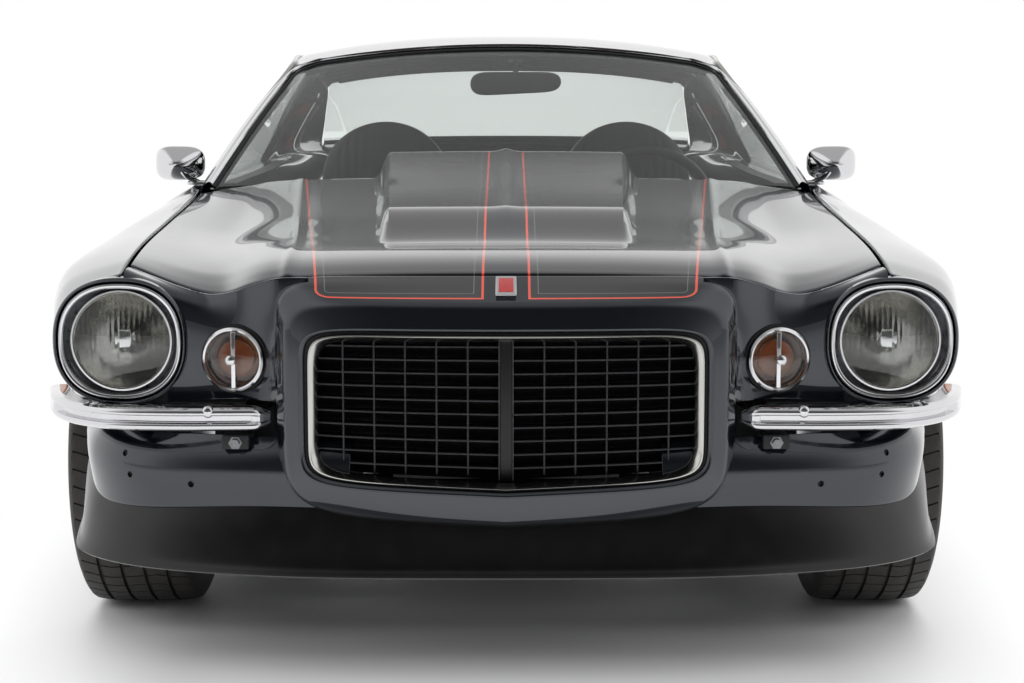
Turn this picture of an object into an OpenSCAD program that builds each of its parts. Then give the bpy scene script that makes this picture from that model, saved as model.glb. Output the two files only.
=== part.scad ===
// Two-door muscle car with a split front bumper: body panels, glass, cabin, running gear and wheels.
// Front faces -Y, +X is the driver's side, +Z is up, and the ground is Z = 0. Sizes are in millimetres.

/* [Overall] */
// Distance between the axles
wheelbase = 2743; // [2500:1:2950]
// Nose to front axle
front_overhang = 945; // [900:1:1000]
// Rear axle to tail
rear_overhang = 1087; // [1000:1:1200]
// Width over the rear quarters
overall_w = 1890; // [1800:1:1980]
// Ground to the top of the roof
overall_h = 1283; // [1220:1:1340]

/* [Wheels] */
// Front track, wheel centre to wheel centre
front_track = 1557; // [1500:1:1590]
// Rear track, wheel centre to wheel centre
rear_track = 1524; // [1480:1:1560]
// Outer diameter of the tyres
tyre_d = 652; // [620:1:670]
// Section width of the tyres
tyre_w = 245; // [205:1:255]
// Height of the tyres' side walls
side_wall = 110; // [90:1:125]
// Width of the wheels over their flanges
rim_w = 215; // [180:1:225]
// Gap from the tyres to the wheel arches
arch_gap = 46; // [36:1:56]
// Radius of the wheel spindles
spindle_r = 30; // [24:1:36]

/* [Panels] */
// Front axle to the front edge of the door
axle_to_door = 640; // [600:1:700]
// Length of the doors
door_len = 1400; // [1300:1:1450]
// Thickness of the doors
door_wall = 105; // [80:1:120]
// Gap round panels that open
panel_gap = 8; // [7:0.5:9]
// Seam between panels that stay put
seam = 0.3; // [0.2:0.1:0.6]
// Wall of the fenders and front panels
fender_wall = 12; // [8:1:16]
// Wall of the rear quarters with their inner trim
quarter_wall = 30; // [24:1:36]
// Wall of the hood and the trunk lid with their frames
lid_wall = 18; // [14:1:24]
// Wall of the roof with its headliner
roof_wall = 34; // [26:1:44]
// Thickness of the window glass
glass_t = 5; // [4:0.5:6]

/* [Front end] */
// Headlamp centre from the car's middle
headlamp_x = 685; // [670:1:695]
// Headlamp centre height
headlamp_z = 669; // [655:1:680]
// Outer radius of the headlamp bezel
headlamp_r = 102; // [98:1:106]
// Parking lamp centre from the car's middle
parking_x = 480; // [470:1:490]
// Parking lamp centre height
parking_z = 640; // [632:1:650]
// Outer radius of the parking lamp
parking_r = 58; // [50:1:62]
// Half width of the grille opening
grille_half_w = 346; // [330:1:352]
// Height of the hood scoop at its back
scoop_h = 62; // [40:1:75]

/* [Joints] */
// Steering pivot from the car's middle
kingpin_x = 720; // [700:1:735]
// Door hinge pin, inboard of the skin
hinge_in = 45; // [40:1:55]
// Door hinge pin, ahead of the door's edge
hinge_ahead = 52; // [45:1:60]
// Radius of the door hinge pins
hinge_pin_r = 7; // [5:0.5:9]
// Running clearance at pins and spindles
run = 0.08; // [0.05:0.01:0.1]

/* [Hidden] */
$fn = 48;
half_w = overall_w / 2;
length = front_overhang + wheelbase + rear_overhang;
nose_y = -length / 2;
tail_y = length / 2;
fa = nose_y + front_overhang;
ra = fa + wheelbase;
wheel_r = tyre_d / 2;
rim_d = tyre_d - 2 * side_wall;
arch_r = wheel_r + arch_gap;
// Width against the drawn width; places across the car are in from the widest line or out from the middle.
wide = overall_w / 1890;
function in(d) = half_w - d * wide;
function out(d) = d * wide;
// Heights of the glass house, which stands on the belt, as drops from the roof's top.
belt_z = 900;
glass_house = (overall_h - belt_z) / 383;
function below_roof(d) = overall_h - d * glass_house;
lamp_x = out(headlamp_x);
park_x = out(parking_x);
park_r = out(parking_r);
grille_half = out(grille_half_w);
door_f = fa + axle_to_door;
door_r = door_f + door_len;
cowl_y = door_f - 85;
paint = [0.03, 0.035, 0.05];
chrome = [0.8, 0.8, 0.82];
black = [0.05, 0.05, 0.05];
trim = [0.09, 0.09, 0.1];
iron = [0.25, 0.25, 0.26];
tint = [0.55, 0.7, 0.7, 0.4];

// Feature lines of the body side, driver's half. Columns: y, x, z.
sill_line = [
    [nose_y + 172, lamp_x + 15, headlamp_z - 112], [nose_y + 305, in(182), 514],
    [fa - 408, in(100), 505], [fa, in(65), 360], [fa + 380, in(83), 215],
    [door_f, in(87), 208], [0, in(95), 205], [door_r, in(87), 208],
    [ra - 380, in(77), 215], [ra, in(55), 300], [ra + 390, in(65), 330],
    [tail_y - 390, in(95), 360], [tail_y - 57, in(155), 430]];
low_line = [
    [nose_y + 172, lamp_x + 82, headlamp_z - 84], [nose_y + 305, in(142), 575],
    [fa - 408, in(67), 560], [fa, in(33), 480], [fa + 380, in(50), 340],
    [door_f, in(55), 330], [0, in(61), 322], [door_r, in(53), 330],
    [ra - 380, in(37), 345], [ra, in(15), 440], [ra + 390, in(27), 450],
    [tail_y - 390, in(55), 470], [tail_y - 57, in(120), 520]];
waist_line = [
    [nose_y + 172, lamp_x + 118, headlamp_z], [nose_y + 305, in(107), 665],
    [fa - 408, in(55), 640], [fa, in(20), 600], [fa + 380, in(30), 560],
    [door_f, in(33), 560], [0, in(37), 580], [door_r, in(25), 600],
    [ra - 380, in(10), 620], [ra, half_w, 630], [ra + 390, in(13), 650],
    [tail_y - 390, in(43), 660], [tail_y - 57, in(100), 650]];
shoulder_line = [
    [nose_y + 172, lamp_x + 84, headlamp_z + 84], [nose_y + 305, in(133), 762],
    [fa - 408, in(87), 770], [fa, in(57), 775], [fa + 380, in(57), 790],
    [door_f, in(60), 795], [0, in(65), 808], [door_r, in(55), 822],
    [ra - 380, in(47), 838], [ra, in(50), 850], [ra + 390, in(77), 845],
    [tail_y - 390, in(107), 830], [tail_y - 57, in(155), 790]];
crest_line = [
    [nose_y + 172, lamp_x, headlamp_z + 118], [nose_y + 305, in(251), 806],
    [fa - 408, in(233), 820], [fa, in(207), 836], [fa + 380, in(197), 862],
    [cowl_y, in(187), 877], [door_f, in(163), 884], [0, in(153), 893],
    [door_r, in(145), 908], [ra - 380, in(145), 925], [ra, in(165), 932],
    [ra + 390, in(200), 928], [tail_y - 390, in(230), 910], [tail_y - 57, in(277), 862]];
// Roof rail, then the side of the rear window, then the edge of the trunk opening.
rail_line = [
    [door_f + 470, out(588), below_roof(95)], [0, out(604), below_roof(61)],
        [door_r - 250, out(596), below_roof(67)],
    [door_r + 12, out(578), below_roof(105)], [door_r + 300, out(612), below_roof(201)],
    [ra - 90, out(655), 962], [ra - 10, out(652), 946], [ra + 390, out(640), 938],
    [tail_y - 390, out(618), 920], [tail_y - 57, out(585), 868]];
// Middle of the roof, then of the rear window.
roof_line = [
    [door_f + 410, 0, below_roof(43)], [0, 0, below_roof(4)], [door_r - 350, 0, below_roof(3)],
    [door_r + 12, 0, below_roof(60)], [door_r + 300, 0, below_roof(172)], [ra - 90, 0, 978]];
// Middle of the trunk lid.
deck_line = [
    [ra - 90, 0, 978], [ra - 10, 0, 962], [ra + 390, 0, 954], [tail_y - 390, 0, 938],
        [tail_y - 57, 0, 884]];
// Hood sections from the middle to the fender. Columns: y, x, z.
hood_mid = [
    [nose_y + 105, 0, 795], [fa - 458, 0, 830], [fa - 58, 0, 858], [cowl_y, 0, 922]];
hood_ridge = [
    [nose_y + 125, out(385), 786], [fa - 458, out(405), 824], [fa - 58, out(432), 848],
        [cowl_y, out(482), 912]];
hood_valley = [
    [nose_y + 195, out(525), 753], [fa - 458, out(560), 792], [fa - 58, out(595), 817],
        [cowl_y, out(625), 896]];

// Interval of a table whose first column holds y.
function seg(t, y, i = 0) = i >= len(t) - 2 || y < t[i + 1][0] ? i : seg(t, y, i + 1);
// Slope of column k at row i.
function slope(t, i, k) =
    let (a = max(i - 1, 0), b = min(i + 1, len(t) - 1)) (t[b][k] - t[a][k]) / (t[b][0] - t[a][0]);
// Column k of a table at y, on a smooth curve through its rows.
function at(t, y, k) =
    let (i = seg(t, y), h = t[i + 1][0] - t[i][0], s = min(max((y - t[i][0]) / h, 0), 1))
    (2 * s^3 - 3 * s^2 + 1) * t[i][k] + (s^3 - 2 * s^2 + s) * h * slope(t, i, k)
    + (3 * s^2 - 2 * s^3) * t[i + 1][k] + (s^3 - s^2) * h * slope(t, i + 1, k);
// Point of a feature line at y.
function on(t, y) = [at(t, y, 1), y, at(t, y, 2)];
// Point at s on a smooth curve through points p, where s counts the points.
function curve(p, s) =
    let (i = min(floor(s), len(p) - 2), f = s - i, a = p[max(i - 1, 0)], b = p[i], c = p[i + 1], d =
        p[min(i + 2, len(p) - 1)])
    b + f * (c - a) / 2 + f^2 * (2 * a - 5 * b + 4 * c - d) / 2 + f^3 * (3 * b - a - 3 * c + d) / 2;
function mix(a, b, t) = a + (b - a) * t;
function unit(v) = v / norm(v);
function smooth(a, b, x) = let (t = min(max((x - a) / (b - a), 0), 1)) t * t * (3 - 2 * t);
function spread(a, b, n) = [for (i = [0:n]) a + (b - a) * i / n];

// Outward unit normal of a grid of points.
function normal(g, i, j) =
    unit(cross(g[min(i + 1, len(g) - 1)][j] - g[max(i - 1, 0)][j],
               g[i][min(j + 1, len(g[0]) - 1)] - g[i][max(j - 1, 0)]));
function inset(g, wall) = [for (i = [0:len(g) - 1]) [for (j = [0:len(g[0]) - 1])
    g[i][j] - wall * normal(g, i, j)]];
// The same with the upper edge straight down.
function capped(g, wall) = [for (i = [0:len(g) - 1]) [for (j = [0:len(g[0]) - 1])
    g[i][j] - wall * (j == len(g[0]) - 1 ? [0, 0, 1] : normal(g, i, j))]];
// The same with no shift along the car, and straight down at the upper edge.
function tucked(g, wall) = [for (i = [0:len(g) - 1]) [for (j = [0:len(g[0]) - 1]) let (n = normal(g, i, j))
    g[i][j] - wall * (j == len(g[0]) - 1 ? [0, 0, 1] : unit([n[0], 0, n[2]]))]];
function shifted(g, v) = [for (row = g) [for (p = row) p + v]];

// Closed solid between an outer grid and an inner grid of the same size.
module between(outer, inner) {
    m = len(outer);
    n = len(outer[0]);
    o = m * n;
    function k(i, j) = i * n + j;
    polyhedron(
        points = concat([for (row = outer) each row], [for (row = inner) each row]),
        faces = concat(
            [for (i = [0:m - 2], j = [0:n - 2]) each [
                [k(i, j), k(i, j + 1), k(i + 1, j + 1)], [k(i, j), k(i + 1, j + 1), k(i + 1, j)],
                [o + k(i, j), o + k(i + 1, j + 1), o + k(i, j + 1)],
                    [o + k(i, j), o + k(i + 1, j), o + k(i + 1, j + 1)]]],
            [for (i = [0:m - 2]) each [
                [k(i, 0), k(i + 1, 0), o + k(i + 1, 0)], [k(i, 0), o + k(i + 1, 0), o + k(i, 0)],
                [k(i + 1, n - 1), k(i, n - 1), o + k(i, n - 1)],
                    [k(i + 1, n - 1), o + k(i, n - 1), o + k(i + 1, n - 1)]]],
            [for (j = [0:n - 2]) each [
                [k(0, j + 1), k(0, j), o + k(0, j)], [k(0, j + 1), o + k(0, j), o + k(0, j + 1)],
                [k(m - 1, j), k(m - 1, j + 1), o + k(m - 1, j + 1)],
                    [k(m - 1, j), o + k(m - 1, j + 1), o + k(m - 1, j)]]]));
}
module shell(g, wall) between(g, inset(g, wall));

// Closed bar through rings of points, capped at both ends.
module loft(rings) {
    m = len(rings);
    n = len(rings[0]);
    polyhedron(
        points = [for (r = rings) each r],
        faces = concat(
            [[for (j = [0:n - 1]) j], [for (j = [n - 1:-1:0]) (m - 1) * n + j]],
            [for (i = [0:m - 2], j = [0:n - 1]) let (a = i * n + j, b = i * n + (j + 1) % n) each [
                [a, a + n, b + n], [a, b + n, b]]]));
}
// Closed ring: rows of points that close both ways.
module torus(g) {
    m = len(g);
    n = len(g[0]);
    polyhedron(
        points = [for (r = g) each r],
        faces = [for (i = [0:m - 1], j = [0:n - 1])
            let (a = i * n + j, b = i * n + (j + 1) % n, c = ((i + 1) % m) * n + j, d =
                ((i + 1) % m) * n + (j + 1) % n)
            each [[a, b, d], [a, d, c]]]);
}
// Bar along a plan path with a section at each point: section columns are outward distance and height.
function path_normal(p, i) =
    let (a = p[max(i - 1, 0)], b = p[min(i + 1, len(p) - 1)], d = unit([b[0] - a[0], b[1] - a[1]])) [d[1],
        -d[0]];
function bar_rings(p, sections) =
    [for (i = [0:len(p) - 1]) let (n = path_normal(p, i))
        [for (q = sections[i]) [p[i][0] + n[0] * q[0], p[i][1] + n[1] * q[0], q[1]]]];

module both_sides() {
    children();
    mirror([1, 0, 0]) children();
}
module wheel_space(y) translate([0, y, wheel_r]) rotate([0, 90, 0])
    cylinder(r = arch_r, h = 2 * overall_w, center = true);

// Body side at y: s runs 0 to 4 from the sill to the crest.
function side(y, s) =
    curve([on(sill_line, y), on(low_line, y), on(waist_line, y), on(shoulder_line, y), on(crest_line, y)],
        s);
side_steps = [0, 0.5, 1, 1.5, 2, 2.5, 3, 3.35, 3.7, 4];

fender_front_y = nose_y + 172;
module fender() color(paint) difference() {
    ys = concat(spread(fender_front_y, fa - 408, 4), spread(fa - 300, fa + 300, 5),
        spread(fa + 400, door_f - panel_gap, 3));
    g = [for (y = ys) [for (s = side_steps) side(y, s)]];
    between(g, tucked(g, fender_wall));
    wheel_space(fa);
}

// Rear quarter with its roof post. Past the crest, t runs 0 to 1 to the rail.
function post(y, t) =
    mix(on(crest_line, y), on(rail_line, y), t) + 22 * sin(180 * t) * smooth(ra + 100, door_r, y) * [0.8,
        0, 0.6];
function quarter_front(t) = mix(door_r + panel_gap, door_r - 265, max(t - 0.16, 0) / 0.84);
quarter_rear_y = tail_y - 57;
module quarter() color(paint) difference() {
    us = [0, 0.07, 0.14, 0.2, 0.27, 0.34, 0.41, 0.5, 0.6, 0.7, 0.8, 0.9, 1];
    g = [for (u = us) concat(
        [for (s = side_steps) side(mix(quarter_front(0), quarter_rear_y, u), s)],
        [for (t = [0.16, 0.3, 0.5, 0.75, 1]) post(mix(quarter_front(t), quarter_rear_y, u), t)])];
    between(g, tucked(g, quarter_wall));
    wheel_space(ra);
}

// Doors run from above the sill to the belt.
door_low_s = 0.86;
door_steps = [door_low_s, 1, 1.5, 2, 2.5, 3, 3.35, 3.7, 4];
hinge_x = in(33) - hinge_in;
hinge_y = door_f - hinge_ahead;
hinge_zs = [450, 640];
// Reach round the hinge pin that the door keeps clear of the fender.
hinge_clear = norm([hinge_in, hinge_ahead]);
// Direction of the hinge arms from the pin, from straight outboard.
arm_turn = 133;
// Set-back of the door's rear edge on its inner side, for the swing.
door_taper = 9;
module door() color(paint) union() {
    g = [for (y = spread(door_f, door_r, 8)) [for (s = door_steps) side(y, s)]];
    difference() {
        between(g, [for (row = g) [for (p = row)
            p - [door_wall, door_taper * (p[1] - door_f) / door_len, 0]]]);
        translate([hinge_x, hinge_y, 0]) cylinder(r = hinge_clear - 0.5, h = overall_h, $fn = 96);
    }
    for (z = hinge_zs) translate([hinge_x, hinge_y, z]) linear_extrude(40) difference() {
        union() {
            circle(r = hinge_pin_r + 6);
            rotate(arm_turn) translate([0, -6]) square([hinge_clear + 30, 12]);
        }
        circle(r = hinge_pin_r + run);
        translate([-200, hinge_ahead - seam]) square([300, 200]);
    }
}

// Hood: across, s runs 0 to 6 from fender to fender; along, u runs 0 to 1 from front to back.
function flip(p) = [-p[0], p[1], p[2]];
hood_back = [cowl_y - 90, cowl_y - 65, cowl_y - 50, cowl_y - 40];
function hood_row(u) =
    let (m = on(hood_mid, mix(hood_mid[0][0], hood_back[0], u)), r =
        on(hood_ridge, mix(hood_ridge[0][0], hood_back[1], u)),
         v = on(hood_valley, mix(hood_valley[0][0], hood_back[2], u)), yb =
             mix(nose_y + 255, hood_back[3], u),
         e = on(crest_line, yb) - [panel_gap, 0, 3])
    [flip(e), flip(v), flip(r), m, r, v, e];
scoop_foot = fa - 590;
scoop_top = fa - 350;
function scoop(x, y) =
    let (half = mix(out(236), out(278), (y - scoop_top) / (hood_back[0] - scoop_top)),
         flank = mix(18, 40, smooth(scoop_foot, cowl_y, y)),
         rise = mix(0.75, 1, smooth(scoop_top, cowl_y, y)) * smooth(scoop_foot, scoop_top, y))
    scoop_h * rise * (1 - smooth(half, half + flank, abs(x)))
    + 7 * smooth(scoop_foot + 100, scoop_top + 250, y) * (1 - smooth(0, 26, abs(x)));
function hood_at(u, s) = let (p = curve(hood_row(u), s)) p + [0, 0, scoop(p[0], p[1])];
hood_half = [0, 0.25, 0.5, 0.8, 1, 1.25, 1.5, 1.75, 2, 2.2, 2.28, 2.36, 2.45, 2.75, 2.93, 3];
hood_steps = concat(hood_half, [for (i = [len(hood_half) - 2:-1:0]) 6 - hood_half[i]]);
hood_rows = [0, 0.04, 0.1, 0.16, 0.2, 0.25, 0.3, 0.36, 0.44, 0.55, 0.66, 0.77, 0.88, 1];
hood_hinge = [out(640), cowl_y - 22, 868];
module hood() color(paint) union() {
    g = [for (s = hood_steps) [for (u = hood_rows) hood_at(u, s)]];
    between(g, shifted(g, [0, 0, -lid_wall]));
    both_sides() translate(hood_hinge) difference() {
        union() {
            rotate([0, 90, 0]) cylinder(r = 13, h = 20);
            translate([0, -105, -9]) cube([20, 105, 12]);
            translate([0, -105, -9]) cube([20, 40, 17]);
        }
        translate([-1, 0, 0]) rotate([0, 90, 0]) cylinder(r = hinge_pin_r + run, h = 22);
    }
}

// Trunk lid between the rear quarters, on two gooseneck hinges.
lid_front = ra - 10;
lid_rear = tail_y - 75;
function lid_at(y, w) =
    let (e = on(rail_line, y), m = on(deck_line, y)) [(e[0] - panel_gap) * w, y,
        mix(m[2], e[2], abs(w)^2.4)];
w_steps = [-1, -0.9, -0.75, -0.5, -0.25, 0, 0.25, 0.5, 0.75, 0.9, 1];
neck = [out(500), lid_front - 150, 885];
neck_r = 178;
neck_low = -61;
neck_high = 15;
module trunk_lid() color(paint) union() {
    g = [for (w = w_steps) [for (y = spread(lid_front + panel_gap, lid_rear, 8)) lid_at(y, w)]];
    between(g, shifted(g, [0, 0, -lid_wall]));
    both_sides() translate(neck) rotate([90, 0, 90]) linear_extrude(20) difference() {
        union() {
            intersection() {
                difference() {
                    circle(r = neck_r + 8);
                    circle(r = neck_r - 8);
                }
                polygon([[0, 0], for (a = [neck_low, neck_high]) 2 * neck_r * [cos(a), sin(a)]]);
            }
            rotate(neck_low) translate([0, -8]) square([neck_r, 16]);
            circle(r = 15);
        }
        circle(r = hinge_pin_r + run);
    }
}

// Windshield: t runs 0 to 1 from the cowl to the roof, w -1 to 1 across.
ws_low = [out(732), door_f - 58, 882];
ws_high = [out(566), door_f + 470, below_roof(93)];
ws_low_mid = [0, door_f - 150, 906];
ws_high_mid = [0, door_f + 410, below_roof(46)];
function shield(t, w) =
    let (a = [ws_low[0] * w, mix(ws_low_mid[1], ws_low[1], w * w), mix(ws_low_mid[2], ws_low[2], w * w)],
         b = [ws_high[0] * w, mix(ws_high_mid[1], ws_high[1], w * w),
             mix(ws_high_mid[2], ws_high[2], w * w)])
    mix(a, b, t) + sin(180 * t) * [0, -7, 10];
module sheet(g, v) between(g, shifted(g, v));
module windshield() color(tint)
    sheet([for (w = spread(-1, 1, 12)) [for (t = spread(0, 1, 6)) shield(t, w)]], [0, 0, -glass_t]);

// Roof rails: windshield posts that run on along the roof's edge to the rear quarters.
rail_path = concat(
    [for (t = [0.04, 0.15, 0.35, 0.55, 0.75, 0.9]) shield(t, 1) + [36, 12, 5]],
    [for (y = [door_f + 540, door_f + 700, 0, 170, quarter_front(1) - 0.8]) on(rail_line, y)]);
function rail_ring(p, i) =
    let (t = unit(p[min(i + 1, len(p) - 1)] - p[max(i - 1, 0)]), d = unit(cross(t, [1, 0, 0])), s =
        unit(cross(t, d)))
    [for (q = [[0, 0], [0, 22], [35, 22], [35, 0]]) p[i] + s * q[0] + d * q[1]];
module roof_rails() color(paint) both_sides()
    loft([for (i = [0:len(rail_path) - 1]) rail_ring(rail_path, i)]);

// Roof between the rails, from the windshield to the rear window.
rail_w = 36;
roof_rear = door_r + 12;
function dome(y, w, dx, dz) =
    let (e = on(rail_line, y), m = on(roof_line, y)) [(e[0] - dx) * w, y, mix(m[2], e[2], abs(w)^2.4) - dz];
module roof() color(paint) {
    g = [for (w = w_steps) [for (u = spread(0, 1, 8))
        dome(mix(mix(ws_high_mid[1], ws_high[1], w * w) + seam, roof_rear, u), w, rail_w, 0)]];
    between(g, shifted(g, [0, 0, -roof_wall]));
}
module rear_window() color(tint)
    sheet([for (w = w_steps) [for (u = spread(0, 1, 6))
        dome(mix(roof_rear + 0.8, ra - 90 - 0.8, u), w, 7, 0)]], [0, 0, -glass_t]);

// Rear deck: strip between rear window and trunk lid, package shelf and the lid's hinge lugs.
shelf_w = out(980);
module rear_deck() color(paint) union() {
    g = [for (w = w_steps) [for (y = spread(ra - 90, lid_front, 2))
        let (e = on(rail_line, y), m = on(deck_line, y)) [(e[0] - 8) * w, y, mix(m[2], e[2], abs(w)^2.4)]]];
    between(g, shifted(g, [0, 0, -lid_wall]));
    translate([-shelf_w / 2, door_r + 330, 890]) cube([shelf_w, ra - 75 - door_r - 330, 15]);
    translate([-shelf_w / 2, ra - 90, 890]) cube([shelf_w, 15, 70]);
    both_sides() {
        translate([neck[0] - 24, neck[1] - 14, neck[2] - 15]) cube([24 - seam, 28, 30]);
        translate([neck[0] - 10, neck[1], neck[2]]) rotate([0, 90, 0]) cylinder(r = hinge_pin_r, h = 32);
    }
}

// Tail panel between the rear quarters, with a lower valance.
lamp_xs = [out(430), out(620)];
tail_lamp_z = 665;
tail_lamp_r = 62;
plate_x = 88.9;
module tail_panel() color(paint) {
    half = concat(
        [for (s = [1.45, 1.7, 2, 2.5, 3, 3.4, 3.7])
            let (p = side(quarter_rear_y, s), d =
                unit(side(quarter_rear_y, s + 0.05) - side(quarter_rear_y, s - 0.05)), k = quarter_wall + 3)
            [p[0] - k * d[2], p[2] + k * d[0]]],
        [[on(rail_line, quarter_rear_y)[0] - 12, on(rail_line, quarter_rear_y)[2] - quarter_wall - 6]]);
    translate([0, quarter_rear_y, 0]) rotate([90, 0, 0]) linear_extrude(12) difference() {
        polygon(concat(half, [for (i = [len(half) - 1:-1:0]) [-half[i][0], half[i][1]]]));
        for (x = lamp_xs, m = [-1, 1]) translate([m * x, tail_lamp_z]) circle(r = tail_lamp_r + seam);
        for (m = [-1, 1]) translate([m * plate_x, tail_lamp_z]) circle(r = 3.5);
    }
    translate([-trunk_half, tail_y - 102, trunk_z - 130]) cube([2 * trunk_half, 15, 110 - seam]);
}
module tail_lamps() color([0.6, 0.03, 0.03]) both_sides()
    for (x = lamp_xs) translate([x, quarter_rear_y - 22, tail_lamp_z]) rotate([-90, 0, 0])
        cylinder(r = tail_lamp_r, h = 36);

bumper_section = [[-6, -26], [16, -26], [30, -17], [36, 0], [30, 17], [16, 26], [-6, 26]];
function at_height(section, z, k) = [for (q = section) [q[0], z + k * q[1]]];
// Half path of the rear bumper from the middle. Columns: x, y.
rear_half = [
    [0, tail_y - 36], [out(500), tail_y - 36], [out(720), tail_y - 38], [out(828), tail_y - 38],
    [out(874), tail_y - 72], [out(896), tail_y - 157], [out(906), tail_y - 298]];
module rear_bumper() color(chrome) {
    p = concat([for (i = [len(rear_half) - 1:-1:0]) rear_half[i]],
        [for (i = [1:len(rear_half) - 1]) [-rear_half[i][0], rear_half[i][1]]]);
    loft(bar_rings(p, [for (i = p) at_height(bumper_section, 515, 1.7)]));
}
// Half path of a front bumper from its inner end. Columns: x, y, size of the section.
front_half = [
    [out(421), nose_y + 118, 0.35], [out(425), nose_y + 118, 0.75], [out(432), nose_y + 118, 1],
    [out(560), nose_y + 114, 1], [out(684), nose_y + 130, 1], [out(764), nose_y + 196, 1],
    [out(812), nose_y + 298, 0.95], [out(838), nose_y + 388, 0.85]];
band_section = [
    [-6, -22], [16, -22], [29, -19], [35, -13], [30, -7], [23, -5],
    [23, 5], [30, 7], [35, 13], [29, 19], [16, 22], [-6, 22]];
bumper_z = 540;
module front_bumpers() color(chrome) both_sides()
    loft(bar_rings(front_half, [for (r =
        front_half) [for (q = band_section) [r[2] * q[0], bumper_z + r[2] * q[1]]]]));

// Header panels round the lamps. Columns: x, y, z.
head_top = [for (s = [1.97, 1.75, 1.4, 1, 0.7, 0.35, 0.05])
    let (p = hood_at(0, 6 - s)) [p[0], p[1] - panel_gap - 12, p[2] - 2]];
head_brow = [[out(419), nose_y + 108, 722], [park_x, nose_y + 141, 706], [out(570), nose_y + 165, 735],
    [lamp_x - 5, nose_y + 165, 785]];
head_face = [[out(419), nose_y + 126, 640], [park_x, nose_y + 141, 640], [out(570), nose_y + 161, 660],
    [lamp_x - 5, nose_y + 161, 669]];
head_base = [[out(419), nose_y + 132, 567], [park_x, nose_y + 150, 567], [out(570), nose_y + 168, 560],
    [lamp_x - 5, nose_y + 172, 548]];
function across_x(t, x) = [x, at(t, x, 1), at(t, x, 2)];
module header_panels() color(paint) both_sides() difference() {
    g = [for (x = spread(out(425), lamp_x - 7, 8)) [for (s = spread(0, 3, 9))
        curve([across_x(head_base, x), across_x(head_face, x), across_x(head_brow, x),
            across_x(head_top, x)], s)]];
    between(g, capped(g, fender_wall));
    translate([lamp_x, nose_y, headlamp_z]) rotate([-90, 0, 0])
        cylinder(r = headlamp_r - 7 + seam, h = 400);
    translate([park_x, nose_y, parking_z]) rotate([-90, 0, 0]) cylinder(r = park_r - 4 + seam, h = 400);
}
module headlamps() color(chrome) both_sides() translate([lamp_x, nose_y + 150, headlamp_z])
    rotate([-90, 0, 0]) union() {
    rotate_extrude() polygon([[90, 0], [headlamp_r, 0], [headlamp_r + 3, 4], [headlamp_r + 3, 8],
        [headlamp_r - 7, 8],
        [headlamp_r - 7, 60], [60, 110], [0, 110], [0, 104], [56, 104], [88, 56], [88, 20]]);
    rotate(-60) rotate_extrude(angle = 120) translate([headlamp_r - 9, 10]) square([23, 12 - 2 * seam]);
}
module headlamp_lenses() color([0.9, 0.92, 0.92, 0.6]) both_sides()
    translate([lamp_x, nose_y + 150, headlamp_z])
    rotate([-90, 0, 0]) rotate_extrude()
        polygon([[0, -8], [40, -5], [70, 4], [88 - seam, 22], [88 - seam, 30], [0, 30]]);
module parking_lamps() color([0.9, 0.5, 0.15]) both_sides() translate([park_x, nose_y + 111, parking_z])
    rotate([-90, 0, 0]) rotate_extrude() polygon([[0, -10], [25, -8], [45, 0], [park_r, 4], [park_r, 10],
        [park_r - 4, 10], [park_r - 4, 70], [0, 70]]);

// Nose surround as rounded loops, from the hood's edge over the crease and the lip into the grille opening.
// Columns: half width, top, bottom, y in the middle, y at the sides, set-back of the lower edge, squareness.
nose_loops = [
    [out(418), 793, 388, nose_y + 97, nose_y + 124, 0, 0.36],
    [out(386), 749, 371, nose_y + 14, nose_y + 68, 34, 0.32],
    [out(357), 706, 433, nose_y, nose_y + 50, 0, 0.22],
    [grille_half + 3, 701, 441, nose_y + 8, nose_y + 56, 0, 0.2],
    [grille_half, 698, 444, nose_y + 78, nose_y + 108, 0, 0.2],
    [out(402), 776, 402, nose_y + 98, nose_y + 125, 0, 0.36]];
function squared(v, e) = sign(v) * abs(v)^e;
nose_vee = 14;
function nose_point(r, a) =
    let (x = r[0] * squared(cos(a), r[6]), k = abs(x) / r[0], under = sin(a) < 0 ? 1 : 0,
         z = (r[1] + r[2]) / 2 + (r[1] - r[2]) / 2 * squared(sin(a), r[6]))
    [x, mix(r[3], r[4], k^3) + under * r[5] * abs(squared(sin(a), r[6]))^3, z - under * nose_vee * (1 - k)];
module nose() color(paint) torus([for (r = nose_loops) [for (a = [5:10:355]) nose_point(r, a)]]);

// Grille: bars in both halves of the opening and a middle post.
grille_y = nose_y + 70;
grille_cols = 6;
grille_rows = 11;
module grille_outline(edge) polygon([for (a = [5:10:355])
    let (r = nose_loops[4], p = nose_point([r[0] - edge, r[1] - edge, r[2] + edge, 0, 0, 0, r[6]],
        a)) [p[0], p[2]]]);
module grille() color(black) translate([0, grille_y + 40, 0]) rotate([90, 0, 0]) union() {
    w = grille_half - 14;
    lo = 447;
    hi = 688;
    linear_extrude(40) difference() {
        grille_outline(0.6);
        grille_outline(9);
    }
    translate([0, 0, 22]) linear_extrude(18) difference() {
        grille_outline(5);
        for (m = [-1, 1], i = [0:grille_cols - 1], j = [0:grille_rows - 1])
            let (cw = (w - 22) / grille_cols, ch = (hi - lo - 12) / grille_rows)
            translate([m * (14 + cw * (i + 0.5)), lo + 6 + ch * (j + 0.5)])
                square([cw - 5, ch - 5], center = true);
    }
}

// Front plan path, under the bumpers, for the valance and the air dam.
plan_half = [
    [0, nose_y + 62], [out(300), nose_y + 70], [out(500), nose_y + 103], [out(660), nose_y + 163],
    [out(760), nose_y + 258], [out(800), nose_y + 378], [out(818), nose_y + 508]];
function plan(u) = curve(plan_half, u);
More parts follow.
